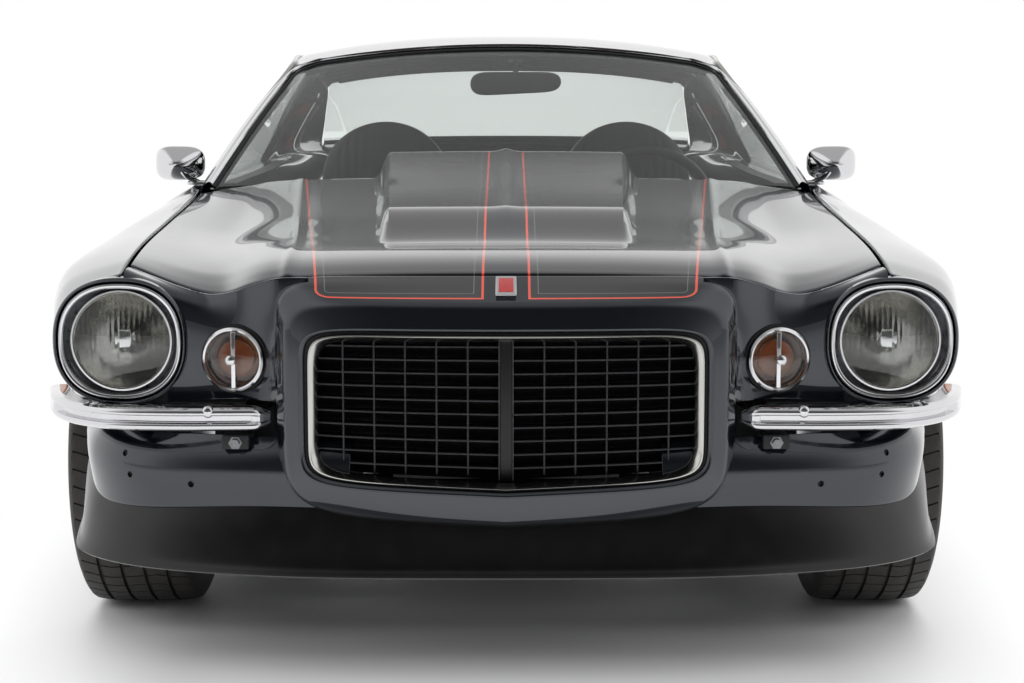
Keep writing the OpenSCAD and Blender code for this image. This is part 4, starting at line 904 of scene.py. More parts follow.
# Nose surround as rounded loops, from inside the body over the crease into the grille opening.
# Columns: half width, top, bottom, y in the middle and at the sides, set-back of the lower edge,
# squareness above and below.
GRILLE_HALF = 346
VEE = 14
NOSE_LOOPS = [
    [394, 776, 402, NOSE_Y + 98, NOSE_Y + 125, 0, 0.2, 0.36],
    [408, 793, 388, NOSE_Y + 97, NOSE_Y + 124, 0, 0.18, 0.36],
    [402, 780, 380, NOSE_Y + 72, NOSE_Y + 92, 14, 0.19, 0.34],
    [384, 749, 371, NOSE_Y + 14, NOSE_Y + 66, 34, 0.22, 0.3],
    [357, 706, 433, NOSE_Y, NOSE_Y + 50, 0, 0.22, 0.22],
    [GRILLE_HALF + 3, 701, 441, NOSE_Y + 8, NOSE_Y + 56, 0, 0.2, 0.2],
    [GRILLE_HALF, 698, 444, NOSE_Y + 78, NOSE_Y + 108, 0, 0.2, 0.2]]


def nose_loop(row, n=60):
    """Rounded loop with n evenly spaced points to each quarter."""
    half, top, bottom, y_mid, y_side, tuck, above, below = row
    mid = (top + bottom) / 2

    def quarter(height, vee, back, e):
        """A quarter of the loop from its side to its middle."""
        fine = spread(0, 1, 300)
        c = np.unique(np.concatenate([fine, (1 - fine ** (2 / e)) ** (e / 2)]))[::-1]
        s = (1 - c ** (2 / e)) ** (e / 2)
        y = mix(y_mid, y_side, 0.2 * c + 0.8 * c**3) + back * s**3
        p = np.stack([half * c, y, mid + height * s - vee * (1 - c)], -1)
        far = np.concatenate([[0], np.cumsum(np.linalg.norm(np.diff(p[:, [0, 2]], axis=0), axis=1))])
        even = spread(0, far[-1], n)
        return np.stack([np.interp(even, far, p[:, k]) for k in range(3)], -1)

    up, down = quarter(top - mid, 0, 0, above), quarter(bottom - mid, VEE, tuck, below)
    flip = [-1, 1, 1]
    return np.concatenate([up, up[-2::-1] * flip, down[1:] * flip, down[-2:0:-1]])


loops = rounded([nose_loop(row) for row in NOSE_LOOPS], 9, 5)
nose = loft("nose_skin", loops + [loops[0]], striped, caps=False)
place(nose, "body", "paint", "nose")

# Bright moulding and black gasket in the grille opening. Columns: inset from its lip, depth behind it.
MOULDING = [[5, 30], [5, 8], [6.5, 4], [9, 3], [11, 4], [21, 17], [22.5, 20], [23, 28], [22, 36], [9, 36]]
GASKET = [[-2, 30], [-2, 11], [1, 9], [5.5, 11], [5.5, 30]]


def inset_loop(inset, depth):
    """Loop inside the grille opening's lip."""
    half, top, bottom = NOSE_LOOPS[5][:3]
    e = NOSE_LOOPS[5][6]
    y = NOSE_Y + depth
    drop = 0.75 * inset if inset > 0 else inset
    return nose_loop([half - inset, top - drop, bottom + 0.45 * max(inset, 0), y, y + 48, 0, e, e])


for name, rows, mat in (("grille_moulding", MOULDING, stainless), ("grille_gasket", GASKET, rubber_seal)):
    loops = [inset_loop(*row) for row in rows]
    place(loft(name, loops + [loops[0]], mat, caps=False), "body", "chrome_plate")

# Grille: crossed bars with thin grey strips on their fronts as a painted highlight, a middle post and a dark
# screen behind
COLUMNS, ROWS = 6, 11
GRILLE_LOW, GRILLE_TOP = 445, 694
BAR_Y = NOSE_Y + 62
BAR_THICK, BAR_DEEP = 3.2, 30


def grille_half_at(z):
    """Half width of the rounded grille opening at a height."""
    k = abs(z - (GRILLE_LOW + GRILLE_TOP) / 2) / ((GRILLE_TOP - GRILLE_LOW) / 2)
    return (GRILLE_HALF - 6) * (1 - min(k, 0.999) ** 10) ** 0.1


def bar(name, a, b, across, thick, depth, mat, y=BAR_Y):
    """Straight bar from a to b (x, z), depth long along the car; its front follows the nose's bow."""
    rings = []
    for x, z in (a, b):
        front = y + 28 * (abs(x) / GRILLE_HALF) ** 3
        dx, dz = (thick / 2, 0) if across else (0, thick / 2)
        corners = ((-1, 0), (1, 0), (1, depth), (-1, depth))
        rings.append([(x + k * dx, front + d, z + k * dz) for k, d in corners])
    return loft(name, rings, mat)


# edges collects the grey strips that paint a highlight on the bars' fronts
bars, edges = [], []
for side_sign in (-1, 1):
    for j in range(1, ROWS):
        z = mix(GRILLE_LOW, GRILLE_TOP, j / ROWS)
        drop = VEE * 0.8 * (1 - j / ROWS)
        xs = spread(10, grille_half_at(z), 6) * side_sign
        zs = z - drop * (1 - np.abs(xs) / GRILLE_HALF)
        for k in range(6):
            ends = (xs[k], zs[k]), (xs[k + 1], zs[k + 1])
            bars.append(bar("row", *ends, False, BAR_THICK, BAR_DEEP, grille_black))
            edges.append(bar("row_highlight_strip", *ends, False, 1.2, 2, grille_highlight_strip, BAR_Y - 1.5))
    for i in range(1, COLUMNS):
        x = side_sign * mix(12, GRILLE_HALF - 8, i / COLUMNS)
        ends = (x, GRILLE_LOW + 1), (x, GRILLE_TOP - 1)
        bars.append(bar("column", *ends, True, BAR_THICK, BAR_DEEP, grille_black))
        edges.append(bar("column_highlight_strip", *ends, True, 1.0, 2, grille_highlight_strip, BAR_Y - 1.2))
    x = side_sign * 12
    edges.append(bar("post_highlight_strip", (x, GRILLE_LOW - 8), (x, GRILLE_TOP), True, 2, 3, grille_highlight_strip, BAR_Y - 5))
bars.append(block("post", (-11, BAR_Y - 4, GRILLE_LOW - 9), (11, BAR_Y + 34, GRILLE_TOP), grille_black, 2))
screen = [nose_loop([GRILLE_HALF - 1, 697, 445, y, y + 28, 0, 0.2, 0.2]) for y in (NOSE_Y + 98, NOSE_Y + 104)]
bars.append(loft("screen", screen, radiator))
place(joined("grille_bars", bars), "body", "black_plastic", "grille")
# Grey strips painted as a highlight on the bars' front edges
place(joined("grille_bar_painted_highlights", edges), "body", "black_plastic")

# Badge place between the stripes: a plain bright square with a plain enamel field
BADGE = Vector((0, NOSE_Y + 58, 774.5))
slope = Vector((0, 83, 44)).normalized()
rise = Vector((0, -44, 83)).normalized()


def badge_part(name, inset, low, high, mat, edge):
    """Plate on the nose's slope, from low to high above it."""
    rings = [[BADGE + Vector((sx * (18 - inset), 0, 0)) + slope * (sy * (29 - 1.4 * inset)) + rise * h
              for sx, sy in ((-1, -1), (1, -1), (1, 1), (-1, 1))] for h in (low, high)]
    return loft(name, [[tuple(p) for p in r] for r in rings], mat, edge=edge)


place(badge_part("badge_frame", 0, -4, 5, chrome, 1.5), "body", "chrome_plate")
place(badge_part("badge_field", 5, 3, 5.8, red_enamel, 0.8), "body", "chrome_plate")

# Header panels between nose and headlamp. Columns: x, y, z.
HEAD_BROW = [
    [330, NOSE_Y + 66, 729], [372, NOSE_Y + 88, 728], [394, NOSE_Y + 102, 727], [410, NOSE_Y + 113, 725],
    [432, NOSE_Y + 123, 720],
    [PARK_X, NOSE_Y + 141, 706], [570, NOSE_Y + 165, 735], [LAMP_X - 5, NOSE_Y + 165, 785]]
HEAD_FACE = [
    [360, NOSE_Y + 66, 640], [390, NOSE_Y + 88, 640], [403, NOSE_Y + 101, 640], [416, NOSE_Y + 115, 640],
    [440, NOSE_Y + 130, 640],
    [PARK_X, NOSE_Y + 141, 640], [570, NOSE_Y + 161, 660], [LAMP_X - 5, NOSE_Y + 161, 669]]
HEAD_BASE = [
    [360, NOSE_Y + 68, 567], [390, NOSE_Y + 90, 567], [403, NOSE_Y + 103, 567], [416, NOSE_Y + 118, 567],
    [440, NOSE_Y + 135, 567],
    [PARK_X, NOSE_Y + 150, 567], [570, NOSE_Y + 168, 560], [LAMP_X - 5, NOSE_Y + 172, 548]]
# Just ahead of the hood's front edge
HEAD_TOP = [hood_at(np.array([0.0]), s)[0] + [0, -GAP - 12, -2]
            for s in (2.4, 2.2, 1.97, 1.75, 1.4, 1, 0.7, 0.35, 0.05)]


def by_x(table, x):
    """Points of a line whose rows are x, y, z at the places x."""
    return on(table, x)[..., [1, 0, 2]]


# Inner edge of the panel at its base, face, brow and top, inside the nose
HEAD_INNER = [396, 396, 384, 345]
g = np.stack([curve([by_x(t, spread(float(curve([[v] for v in HEAD_INNER], s)[0]), LAMP_X - 7, 56))
                     for t in (HEAD_BASE, HEAD_FACE, HEAD_BROW, HEAD_TOP)], s) for s in spread(0, 3, 42)], 1)
header = slab("header_panel", g, g + [0, 12, 0], paint, 2)
LAMP_Y = NOSE_Y + 160
PARK_AXIS = np.array([-0.22, 0.9755, 0])
PARK_AT = np.array([PARK_X, NOSE_Y + 139, PARK_Z])


def oval(a, b, e, y, n=112):
    """Rounded-square ring round the headlamp's axis; e is 1 for an ellipse."""
    t = circle(n)
    x, z = a * squared(np.cos(t), e), b * squared(np.sin(t), e)
    return np.stack([LAMP_X + 1 + x, LAMP_Y + y + 0 * t, LAMP_Z + z], -1)


def oval_ring(name, rows, mat):
    """Closed ring from rows of half width, half height, squareness and depth."""
    loops = rounded([oval(*row) for row in rows + rows[:2]], 1.5, 2)[1:-1]
    return loft(name, loops + [loops[0]], mat, caps=False)


cut(header, loft("lamp_hole", [oval(113, 107, 0.82, -200), oval(113, 107, 0.82, 200)], paint),
    lathe("park_hole", [(62, -150), (62, 150)], PARK_AT, PARK_AXIS, paint))
both(header, "paint", "header_panels")
# Columns of the lamp rings: half width, half height, squareness, depth.
NACELLE = [[112, 106, 0.84, 24], [112, 106, 0.84, -6], [115, 109, 0.84, -9], [119, 113, 0.86, -4],
           [121, 115, 0.92, 14], [117, 111, 0.92, 24]]
BEZEL = [[104, 98, 0.84, 14], [110, 104, 0.84, 6], [110, 104, 0.84, -5], [107, 101, 0.84, -9],
         [102, 96, 0.85, -8], [100, 94, 0.86, -2]]
PAN = [[101, 95, 0.86, -3], [98, 92, 0.9, 6], [93, 91, 1.0, 14], [91, 91, 1.0, 13], [91, 91, 1.0, 20],
       [103, 97, 0.86, 18]]
both(oval_ring("headlamp_nacelle", NACELLE, paint), "paint")
both(oval_ring("headlamp_bezel", BEZEL, chrome), "chrome_plate", "headlamps")
both(oval_ring("headlamp_pan", PAN, pan_metal), "chrome_plate")
LENS_R = 86
at_lamp = (LAMP_X, LAMP_Y, LAMP_Z)
into = (0, 1, 0)
LENS_RING = [(91.5, 16), (91.5, 8), (90, 5), (87, 5), (85.5, 8), (85.5, 16), (91.5, 16)]
both(lathe("headlamp_ring", LENS_RING, at_lamp, into, chrome, 96), "chrome_plate")

# Pressed lens: domed front, and flutes on its back that change at a step below the middle
FLUTE, FLUTE_DEEP, FLUTE_STEP = 9.2, 0.75, -14
t = circle(132)
radii = np.concatenate([[0.4], spread(2, LENS_R - 0.5, 42)])
x, z = np.outer(radii, np.cos(t)), np.outer(radii, np.sin(t))
dish = -12 + 20 * (radii / LENS_R) ** 2
fade = smooth(LENS_R - 1, LENS_R - 6, radii)
flutes = FLUTE_DEEP * np.abs(np.sin(math.pi * x / np.where(z > FLUTE_STEP, FLUTE, 2 * FLUTE))) * fade[:, None]
front = np.stack([LAMP_X + x, LAMP_Y + dish[:, None] + 0 * x, LAMP_Z + z], -1)
back = front + np.stack([0 * x, 4.5 + flutes, 0 * x], -1)
loops = list(front) + list(back[::-1])
both(loft("headlamp_lens", loops, lens_glass, angle=25), "lamp_glass", "headlamp_lenses")
BOWL = [(0, 78), (30, 72), (60, 48), (84, 12), (85.3, 12), (85.3, 16), (62, 51), (31, 76), (0, 82)]
BULB = [(0, 30), (15, 32), (17, 38), (17, 56), (6, 60), (6, 75), (0, 76)]
bowl = lathe("bowl", BOWL, at_lamp, into, reflector, 96)
both(joined("headlamp_reflector", [bowl, lathe("bulb_shield", BULB, at_lamp, into, chrome, 32)]),
     "lamp_glass")

# Parking lamps: ring, gasket, clear lens over amber, a bowl behind. Columns of the profiles: radius, depth.
PARK_RING = [(50, 20), (50, -10), (51, -13), (54, -14.5), (57, -12), (58.5, -6), (58.5, 20), (50, 20)]
PARK_GASKET = [(57, 24), (57, -2), (59, -4), (61.5, -3), (61.5, 24), (57, 24)]
PARK_LENS = [(0, -17), (20, -16), (38, -12.5), (49.5, -6), (49.5, -2), (37, -9), (20, -12.5), (0, -13.5)]
PARK_AMBER = [(0, -2), (18, -1), (32, 5), (34, 12), (34, 15), (0, 15)]
PARK_BOWL = [(0, 30), (30, 27), (48, 14), (49.4, 12), (49.4, 18), (30, 33), (0, 36)]
PARK_BOLT = [(0, -27), (5, -26.5), (8.5, -24), (9.5, -20), (9.5, -15), (0, -15)]


def park(name, rows, mat, steps=72):
    """Turned piece of a parking lamp."""
    return lathe(name, rows, PARK_AT, PARK_AXIS, mat, steps)


both(park("parking_ring", PARK_RING, chrome), "chrome_plate", "parking_lamps")
both(park("parking_gasket", PARK_GASKET, rubber_seal), "black_plastic")
both(park("parking_lens", PARK_LENS, lens_glass), "lamp_glass")
both(park("parking_amber", PARK_AMBER, amber), "amber_lens")
both(park("parking_bowl", PARK_BOWL, reflector), "lamp_glass")
# A bright bar with a bolt stands across the lens
face = (PARK_AT - PARK_AXIS * 18.5)[1]
strut = block("strut", (PARK_X - 4, face - 2, PARK_Z - 50), (PARK_X + 4, face + 4, PARK_Z + 50), chrome, 1.8)
both(joined("parking_bar", [strut, park("bolt", PARK_BOLT, chrome, 24)]), "chrome_plate")

# Front bumpers: one blade a side with a hollow band that ends short of both tips.
# Columns: x, distance behind the nose.
BLADE = [
    [414, 119.5], [432, 118], [500, 115.5], [560, 114], [630, 119], [684, 130], [730, 160], [764, 196],
    [792, 244],
    [812, 298], [826, 344], [838, 388]]
BLADE_Z = 540


def blade_ring(s):
    """Section of the blade at s along its path, square to it and smaller at both tips."""
    p = curve(BLADE, s)
    d = curve(BLADE, min(s + 0.05, len(BLADE) - 1.001)) - curve(BLADE, max(s - 0.05, 0))
    n = np.array([d[1], -d[0]]) / np.linalg.norm(d)
    size = 0.1 + 0.9 * float(smooth(-0.6, 1, (p[0] - BLADE[0][0]) / 30))
    hollow = 12 * float(smooth(434, 446, p[0]) * (1 - smooth(7.6, 8.1, s)))
    size *= mix(1, 0.85, float(smooth(8, 11, s)))
    half = [(16, 22), (26, 20.5), (32, 17), (34.5, 12), (33.5, 8), (33 - 0.5 * hollow, 6.5),
            (33 - hollow, 5.2)]
    section = [(-6, -22)] + [(a, -b) for a, b in half] + half[::-1] + [(-6, 22)]
    section = rounded([np.array(q, float) for q in section], 1.5, 2)
    return [(p[0] + n[0] * a * size, NOSE_Y + p[1] + n[1] * a * size, BLADE_Z + b * size) for a, b in section]


places = np.concatenate([spread(0, 1, 14)[:-1], spread(1, len(BLADE) - 1, 72)])
blade = loft("front_bumper_blade", [blade_ring(s) for s in places], chrome)
both(blade, "chrome_plate", "front_bumpers")
# Round-headed bolts in the blade, and the bracket below it with its hexagon bolt
ROUND_HEAD = [(0, -5), (5, -4.5), (9, -2), (11, 1), (11, 8), (0, 8)]
HEXAGON = [(0, -8), (8, -8), (8, 0), (12, 0), (12, 4), (0, 4)]
bolts = [lathe("bolt", ROUND_HEAD, at, into, chrome, 24)
         for at in ((521, NOSE_Y + 84, 554), (728, NOSE_Y + 134, 554))]
bolts.append(block("bracket", (452, NOSE_Y + 100, 484), (500, NOSE_Y + 190, 509), chassis_black, 3))
bolts.append(lathe("bolt", HEXAGON, (476, NOSE_Y + 99, 496), into, steel, 6))
both(joined("front_bumper_fixings", bolts), "chrome_plate")

# Valance and air dam on one plan path; the seam between them climbs to the bumper's outer end. Columns: x, y.
PLAN = [
    [0, NOSE_Y + 62], [300, NOSE_Y + 70], [500, NOSE_Y + 103], [660, NOSE_Y + 163], [760, NOSE_Y + 258],
    [800, NOSE_Y + 378], [818, NOSE_Y + 508]]
VALANCE_TOP = 505


def skirt(us, section, n):
    """Grid along the plan path; section gives the rows of outward distance and height at u."""
    rows = []
    for u in us:
        p = curve(PLAN, u)
        d = curve(PLAN, min(u + 0.05, 6)) - curve(PLAN, u - 0.05 if u > 0.05 else 0)
        d = unit(d if u > 0.02 else np.array([1.0, 0]))
        q = [curve(section(u), s) for s in spread(0, len(section(u)) - 1, n)]
        rows.append([(p[0] + d[1] * a, p[1] - d[0] * a, b) for a, b in q])
    return np.array(rows)


def seam_z(u):
    """Height of the seam: highest under the nose and at the outer end."""
    return 368 + 92 * float(smooth(3.6, 5.9, u)) + 18 * float(1 - smooth(1.4, 3.4, u))


def valance_section(u):
    """Valance from just below the seam up behind the bumper."""
    z = seam_z(u)
    h = VALANCE_TOP - z
    return [(-9, z - 2.5), (-2, z + 0.45 * h), (-10, z + 0.75 * h), (-34, VALANCE_TOP)]


def dam_section(u):
    """Dam from its flared lip up to the seam; the flare fades toward the wheel."""
    z = seam_z(u)
    lift = float(smooth(4.2, 6, u))
    low = 268 + 44 * lift
    flare = [(26 - 24 * lift, low), (22 - 20 * lift, low + 6), (14 - 12 * lift, low + 22)]
    return flare + [(0, mix(low, z, 0.67)), (-13, z)]


SKIRT_WALL = 6
valance = slab("front_valance_skin", skirt(spread(0.9, 6, 90), valance_section, 20), SKIRT_WALL, paint, 1.5)
holes = [lathe("hole", [(6, -60), (6, 60)], (x, NOSE_Y + y, z), (-0.5, 0.86, 0), paint, 24)
         for x, y, z in ((688, 190, 462), (676, 180, 425), (560, 122, 418))]
cut(valance, *holes)
both(valance, "paint", "front_valance")
half = skirt(spread(0, 6, 80), dam_section, 18)
g = np.concatenate([half[:0:-1] * [-1, 1, 1], half])
place(slab("air_dam_skin", g, SKIRT_WALL, dam_plastic, 2), "body", "black_plastic", "air_dam")

# Front seats: domed back and crowned cushion with sewn pleats, on a base
SEAT_X, SEAT_Y = 371, DOOR_F + 640
PLEAT, PLEAT_DEEP = 27, 6
# Back rest. Columns: z, front y, rear y, half width. The dome on it: rise, and how far its faces lean back.
BACK_REST = [[436, 95, 262, 196], [520, 166, 292, 212], [620, 196, 318, 218], [760, 232, 342, 212],
             [860, 254, 356, 194]]
DOME_RISE, DOME_FRONT, DOME_REAR = 172, 34, 24


def pleats(x, reach):
    """Depth of the sewn channels across a pad: deep narrow seams between full rolls, gone beyond reach."""
    roll = np.abs(np.sin(math.pi * x / PLEAT)) ** 0.45
    return (1 - roll) * (1 - smooth(reach - 12, reach, np.abs(x)))


def back_rest():
    """Rings up the back rest; the top closes in a dome."""
    rings = []
    t = circle(150)
    last = len(BACK_REST) - 1
    for k in np.concatenate([spread(0, last, 40), last + np.sin(spread(0, math.pi / 2, 26)[1:])]):
        z, front, rear, half = curve(BACK_REST, min(k, last))
        rise = max(k - last, 0)
        z, front, rear = z + DOME_RISE * rise, front + DOME_FRONT * rise, rear + DOME_REAR * rise
        half *= math.sqrt(max(1 - rise * rise, 0.0004))
        front, rear = mix(front, (front + rear) / 2, rise**4), mix(rear, (front + rear) / 2, rise**4)
        x = half * squared(np.cos(t), 0.75)
        y = squared(np.sin(t), 0.6)
        depth = np.where(y < 0, PLEAT_DEEP * pleats(x, half * 0.86) * smooth(-0.3, -0.8, y), 0)
        crown = 14 * (1 - (x / 220) ** 2)
        y = (front + rear) / 2 + y * (rear - front) / 2 + np.where(y < 0, depth - 0.5 * crown, 0.6 * crown)
        rings.append(np.stack([SEAT_X + x, y, z + 0 * x], -1))
    return rings


def cushion_rings(centre, half_x, half_y, low, top, reach, crown):
    """Rings of a seat cushion from its base over the crown to the middle; channels run along the car."""
    t = circle(160)
    rings = []
    wall = [(0.0, 0.95), (0.2, 0.985), (0.45, 1.0), (0.7, 0.995), (0.86, 0.975), (0.95, 0.945)]
    for h, k in wall + [(1.0, k) for k in spread(0.9, 0.012, 32)]:
        x, y = half_x * k * squared(np.cos(t), 0.34), half_y * k * squared(np.sin(t), 0.34)
        bulge = crown * (1 - (x / half_x) ** 2) * (1 - (y / half_y) ** 4)
        seam = PLEAT_DEEP * pleats(x, reach) * (1 - smooth(half_y * 0.78, half_y * 0.86, np.abs(y)))
        rings.append(np.stack([centre[0] + x, centre[1] + y, mix(low, top, h) + (bulge - seam) * (h == 1)],
                              -1))
    return rings


seat_back = loft("front_seat_back", back_rest(), vinyl, angle=50)
rings = cushion_rings((SEAT_X, SEAT_Y + 72), 222, 196, 322, 446, 168, 26)
seat_pad = loft("front_seat_cushion", rings, vinyl, angle=50)
both(seat_back, "seat_vinyl", "front_seats")
both(seat_pad, "seat_vinyl")
low, high = (SEAT_X - 175, SEAT_Y - 90, 232), (SEAT_X + 175, SEAT_Y + 250, 326)
both(block("front_seat_base", low, high, black_plastic, 12), "trim_plastic")

# Rear bench in two places: a back and a cushion each
BENCH_X, BENCH_HALF, BENCH_REACH = 298, 284, 225
rings = cushion_rings((BENCH_X, DOOR_R - 25), BENCH_HALF, 160, 488, 524, BENCH_REACH, 20)
bench_pad = loft("rear_seat_cushion", rings, vinyl, angle=50)
both(bench_pad, "seat_vinyl", "rear_seat")
both(block("rear_seat_riser", (140, DOOR_R - 160, 232), (588, DOOR_R - 110, 490), carpet, 8), "trim_plastic")


def bench_back():
    """Rings up one place of the bench's back, which leans to the rear and rounds over at its top."""
    rings = []
    t = circle(160)
    for k in np.concatenate([spread(0, 1, 20), 1 + np.sin(spread(0, math.pi / 2, 12)[1:])]):
        up, over = min(k, 1), max(k - 1, 0)
        shrink = math.sqrt(max(1 - over * over, 0.0009))
        x = BENCH_HALF * mix(1, shrink, 0.25) * squared(np.cos(t), 0.36)
        side_y = squared(np.sin(t), 0.5)
        thick = mix(58, 44, up) * shrink
        middle = DOOR_R + mix(146, 262, up) + 8 * over
        front = PLEAT_DEEP * pleats(x, BENCH_REACH) * shrink - 10 * (1 - (x / BENCH_HALF) ** 2)
        y = middle + side_y * thick + np.where(side_y < 0, front, 0)
        rings.append(np.stack([BENCH_X + x, y, 500 + 350 * up + 30 * over + 0 * x], -1))
    return rings


both(loft("rear_seat_back", bench_back(), vinyl, angle=50), "seat_vinyl")

# Roof lining, sun visors and the inner mirror
w = spread(-0.94, 0.94, 60)[:, None]
g = dome(mix(roof_front(w) + 12, ROOF_REAR - 14, spread(0, 1, 40)), w, 6, ROOF) - [0, 0, ROOF_WALL + 2]
place(slab("roof_lining", g, g - [0, 0, 5], headliner, 1.5), "body", "trim_plastic")
w = spread(0.06, 0.86, 30)[:, None]
deep = spread(0, 1, 16)
g = dome(roof_front(w) + 16 + 150 * deep, w, 6, ROOF)
g[..., 2] -= 50 - 10 * deep
both(slab("sun_visor", g, g - [0, 0, 14], visor_vinyl, 6), "trim_plastic")


INNER_X, INNER_HALF = 26, 121


def glass_ring(x):
    """Rounded section of the inner mirror, lower toward both ends."""
    k = (x - INNER_X) / INNER_HALF
    end = math.sqrt(max(1 - abs(k) ** 8, 0.0016))
    t = circle(40)
    y = DOOR_F + 342 - 11 * end * squared(np.cos(t), 0.5) * (1 - 0.1 * k * k)
    return np.stack([x + 0 * t, y, 1140 + 3 * k + (29 - 3 * k) * end * squared(np.sin(t), 0.5)], -1)


turn = spread(-math.pi / 2, math.pi / 2, 60)
shell = loft("shell", [glass_ring(INNER_X + INNER_HALF * math.sin(a)) for a in turn], black_plastic)
# Columns: distance behind the door's front edge, height.
INNER_ARM = [(344, 1150), (378, 1168), (424, 1190), (446, 1204)]
bends = [(INNER_X, DOOR_F + y, z) for y, z in INNER_ARM]
arm = tube("arm", [curve(bends, k) for k in spread(0, 3, 20)], 7, steel, 14)
foot = block("mirror_foot", (8, DOOR_F + 432, 1196), (44, DOOR_F + 452, 1206), steel, 2)
place(joined("inner_mirror_shell", [shell, arm, foot]), "body", "trim_plastic", "inner_mirror")

# Wheels: rolled rim with a bright lip, five waisted spokes, hub with a plain cap and nuts.
# Columns: radius, offset.
RIM = [
    (192, -107), (222, -107.5), (224, -105), (224, -99), (213, -92), (206, -84), (200, -30), (200, 40),
    (206, 84), (213, 92), (224, 99), (224, 105), (222, 107.5), (207, 107), (204, 104), (203, 96), (197, 84),
    (188, 60), (187, -40), (190, -95), (192, -107)]
HUB = [(0, 24), (74, 24), (78, 30), (78, 52), (72, 62), (60, 66), (40, 67), (38, 62), (0, 62)]
CAP = [(0, 60), (36, 60), (36.5, 78), (34, 84), (26, 87.5), (0, 89)]
NUT = [(0, 62), (10.5, 62), (10.5, 82), (9, 86), (5, 88), (0, 88.5)]
# Columns: radius, half width, inner and outer face.
SPOKE = [
    [44, 27, 24, 60], [70, 25, 28, 65], [110, 22, 36, 66], [150, 24, 42, 69], [178, 32, 48, 75],
    [195, 43, 52, 82]]
SPOKES = 5
NUT_CIRCLE = 56


def spoke(centre, angle):
    """One spoke from the hub to the rim, hollowed a little along its face."""
    out = np.array([0, math.cos(angle), math.sin(angle)])
    across = np.array([0, -math.sin(angle), math.cos(angle)])
    rings = []
    for k in spread(0, len(SPOKE) - 1, 30):
        r, half, low, high = curve(SPOKE, k)
        face = [(half, high - 9), (0.62 * half, high - 1), (0.3 * half, high - 4)]
        section = [(-half, low), (half, low)] + face + [(-a, b) for a, b in face[::-1]]
        rings.append([centre + out * r + across * a + [b, 0, 0] for a, b in section])
    return loft("spoke", rings, alloy, edge=2)


for corner, x, y in WHEELS:
    centre = np.array([x, y, WHEEL_R])
    body = "wheel_" + corner
    out = (1, 0, 0)
    pair(lathe(body + "_rim", RIM, centre, out, machined, 144), body, "wheel_alloy", body)
    angles = [2 * math.pi * k / SPOKES + math.pi / 2 for k in range(SPOKES)]
    hub = [lathe("hub", HUB, centre, out, alloy, 96)]
    pair(joined(body + "_spokes", hub + [spoke(centre, a) for a in angles]), body, "wheel_alloy")
    cap = [lathe("cap", CAP, centre, out, chrome, 64)]
    for a in angles:
        turn = a + math.pi / SPOKES
        at = centre + [0, NUT_CIRCLE * math.cos(turn), NUT_CIRCLE * math.sin(turn)]
        cap.append(lathe("nut", NUT, at, out, chrome, 6))
    pair(joined(body + "_cap", cap), body, "chrome_plate")

# Dashboard with a hooded cluster on the driver's side. Columns: distance behind its front, height.
DASH_Y = DOOR_F + 60
DASH = [(-29, 829), (0, 866), (160, 868), (215, 835), (190, 700), (120, 610), (60, 610), (20, 790),
        (-29, 806)]
# Steering wheel: middle, and the directions of its column and of its upper side
WHEEL_AT = np.array([382, DOOR_F + 465, 790.0])
COLUMN_AXIS = np.array([0, 0.9272, 0.3746])
COLUMN_UP = np.array([0, 0.3746, -0.9272])
# Cluster hood: half width, and how far it stands to the rear and up
HUMP_HALF, HUMP_REAR, HUMP_UP = 205, 16, 14


def hump(x):
    """Share of the cluster's hood at x."""
    return math.exp(-(((x - WHEEL_AT[0]) / HUMP_HALF) ** 4))


def dash_ring(x):
    """Rounded section of the dashboard at x."""
    q = []
    for a, b in DASH:
        rear = HUMP_REAR * hump(x) if a > 150 and b > 750 else 0
        rise = HUMP_UP * hump(x) if b > 860 else 0
        q.append(np.array((a + rear, b + rise), float))
    q = rounded(q + q[:2], 20, 5)[1:-1]
    return [(x, DASH_Y + a, b) for a, b in q]


dash = loft("dashboard_pad", [dash_ring(x) for x in spread(-688, 688, 120)], dash_skin, edge=4)
column = lathe("column_space", [(32, -400), (32, 60)], WHEEL_AT, COLUMN_AXIS, dash_skin, 32)
place(cut(dash, column), "body", "trim_plastic", "dashboard")
# Gauges. Columns: distance beside the steering wheel's middle, radius.
GAUGES = [(-72, 52), (72, 52), (-160, 30), (158, 30)]
GAUGE_AXIS = np.array([0, 0.983, -0.182])
bezels, faces = [], []
for dx, r in GAUGES:
    x = WHEEL_AT[0] + dx
    at = np.array([x, DASH_Y + 206 + HUMP_REAR * hump(x), 778])
    rows = [(r, -6), (r, 5), (r - 3, 8), (r - 6, 5), (r - 6, -6), (r, -6)]
    bezels.append(lathe("bezel", rows, at, GAUGE_AXIS, chrome, 48))
    rows = [(0, -4), (r - 5.5, -4), (r - 5.5, 1), (0, 1)]
    faces.append(lathe("face", rows, at, GAUGE_AXIS, black_plastic, 48))
    up = np.cross([1.0, 0, 0], GAUGE_AXIS)
    start = at + GAUGE_AXIS * 1.6
    for a in np.radians(spread(-40, 220, 10)):
        way = np.array([1.0, 0, 0]) * math.cos(a) + up * math.sin(a)
        faces.append(tube("tick", [start + way * (r - 15), start + way * (r - 8)], 0.8, ivory, 6))
    start = at + GAUGE_AXIS * 3
    faces.append(tube("needle", [start, start + (up * 0.8 - [0.6, 0, 0]) * (r - 12)], 1.0, red_enamel, 6))
place(joined("gauge_bezels", bezels), "body", "trim_plastic")
place(joined("gauge_faces", faces), "body", "trim_plastic")


def at_wheel(points):
    """Points given across, up and along the steering column, put in their place."""
    q = np.asarray(points, float)
    return WHEEL_AT + q[..., :1] * [1, 0, 0] + q[..., 1:2] * COLUMN_UP + q[..., 2:] * COLUMN_AXIS


GRIP_R, GRIP_THICK, FINGER = 182, 13.5, 0.9
WHEEL_HUB = [(0, -22), (50, -20), (56, -12), (54, 2), (44, 10), (20, 13), (0, 13.5)]
SHAFT = [(0, -300), (25, -300), (25, -60), (33, -56), (36, -24), (30, -16), (0, -16)]
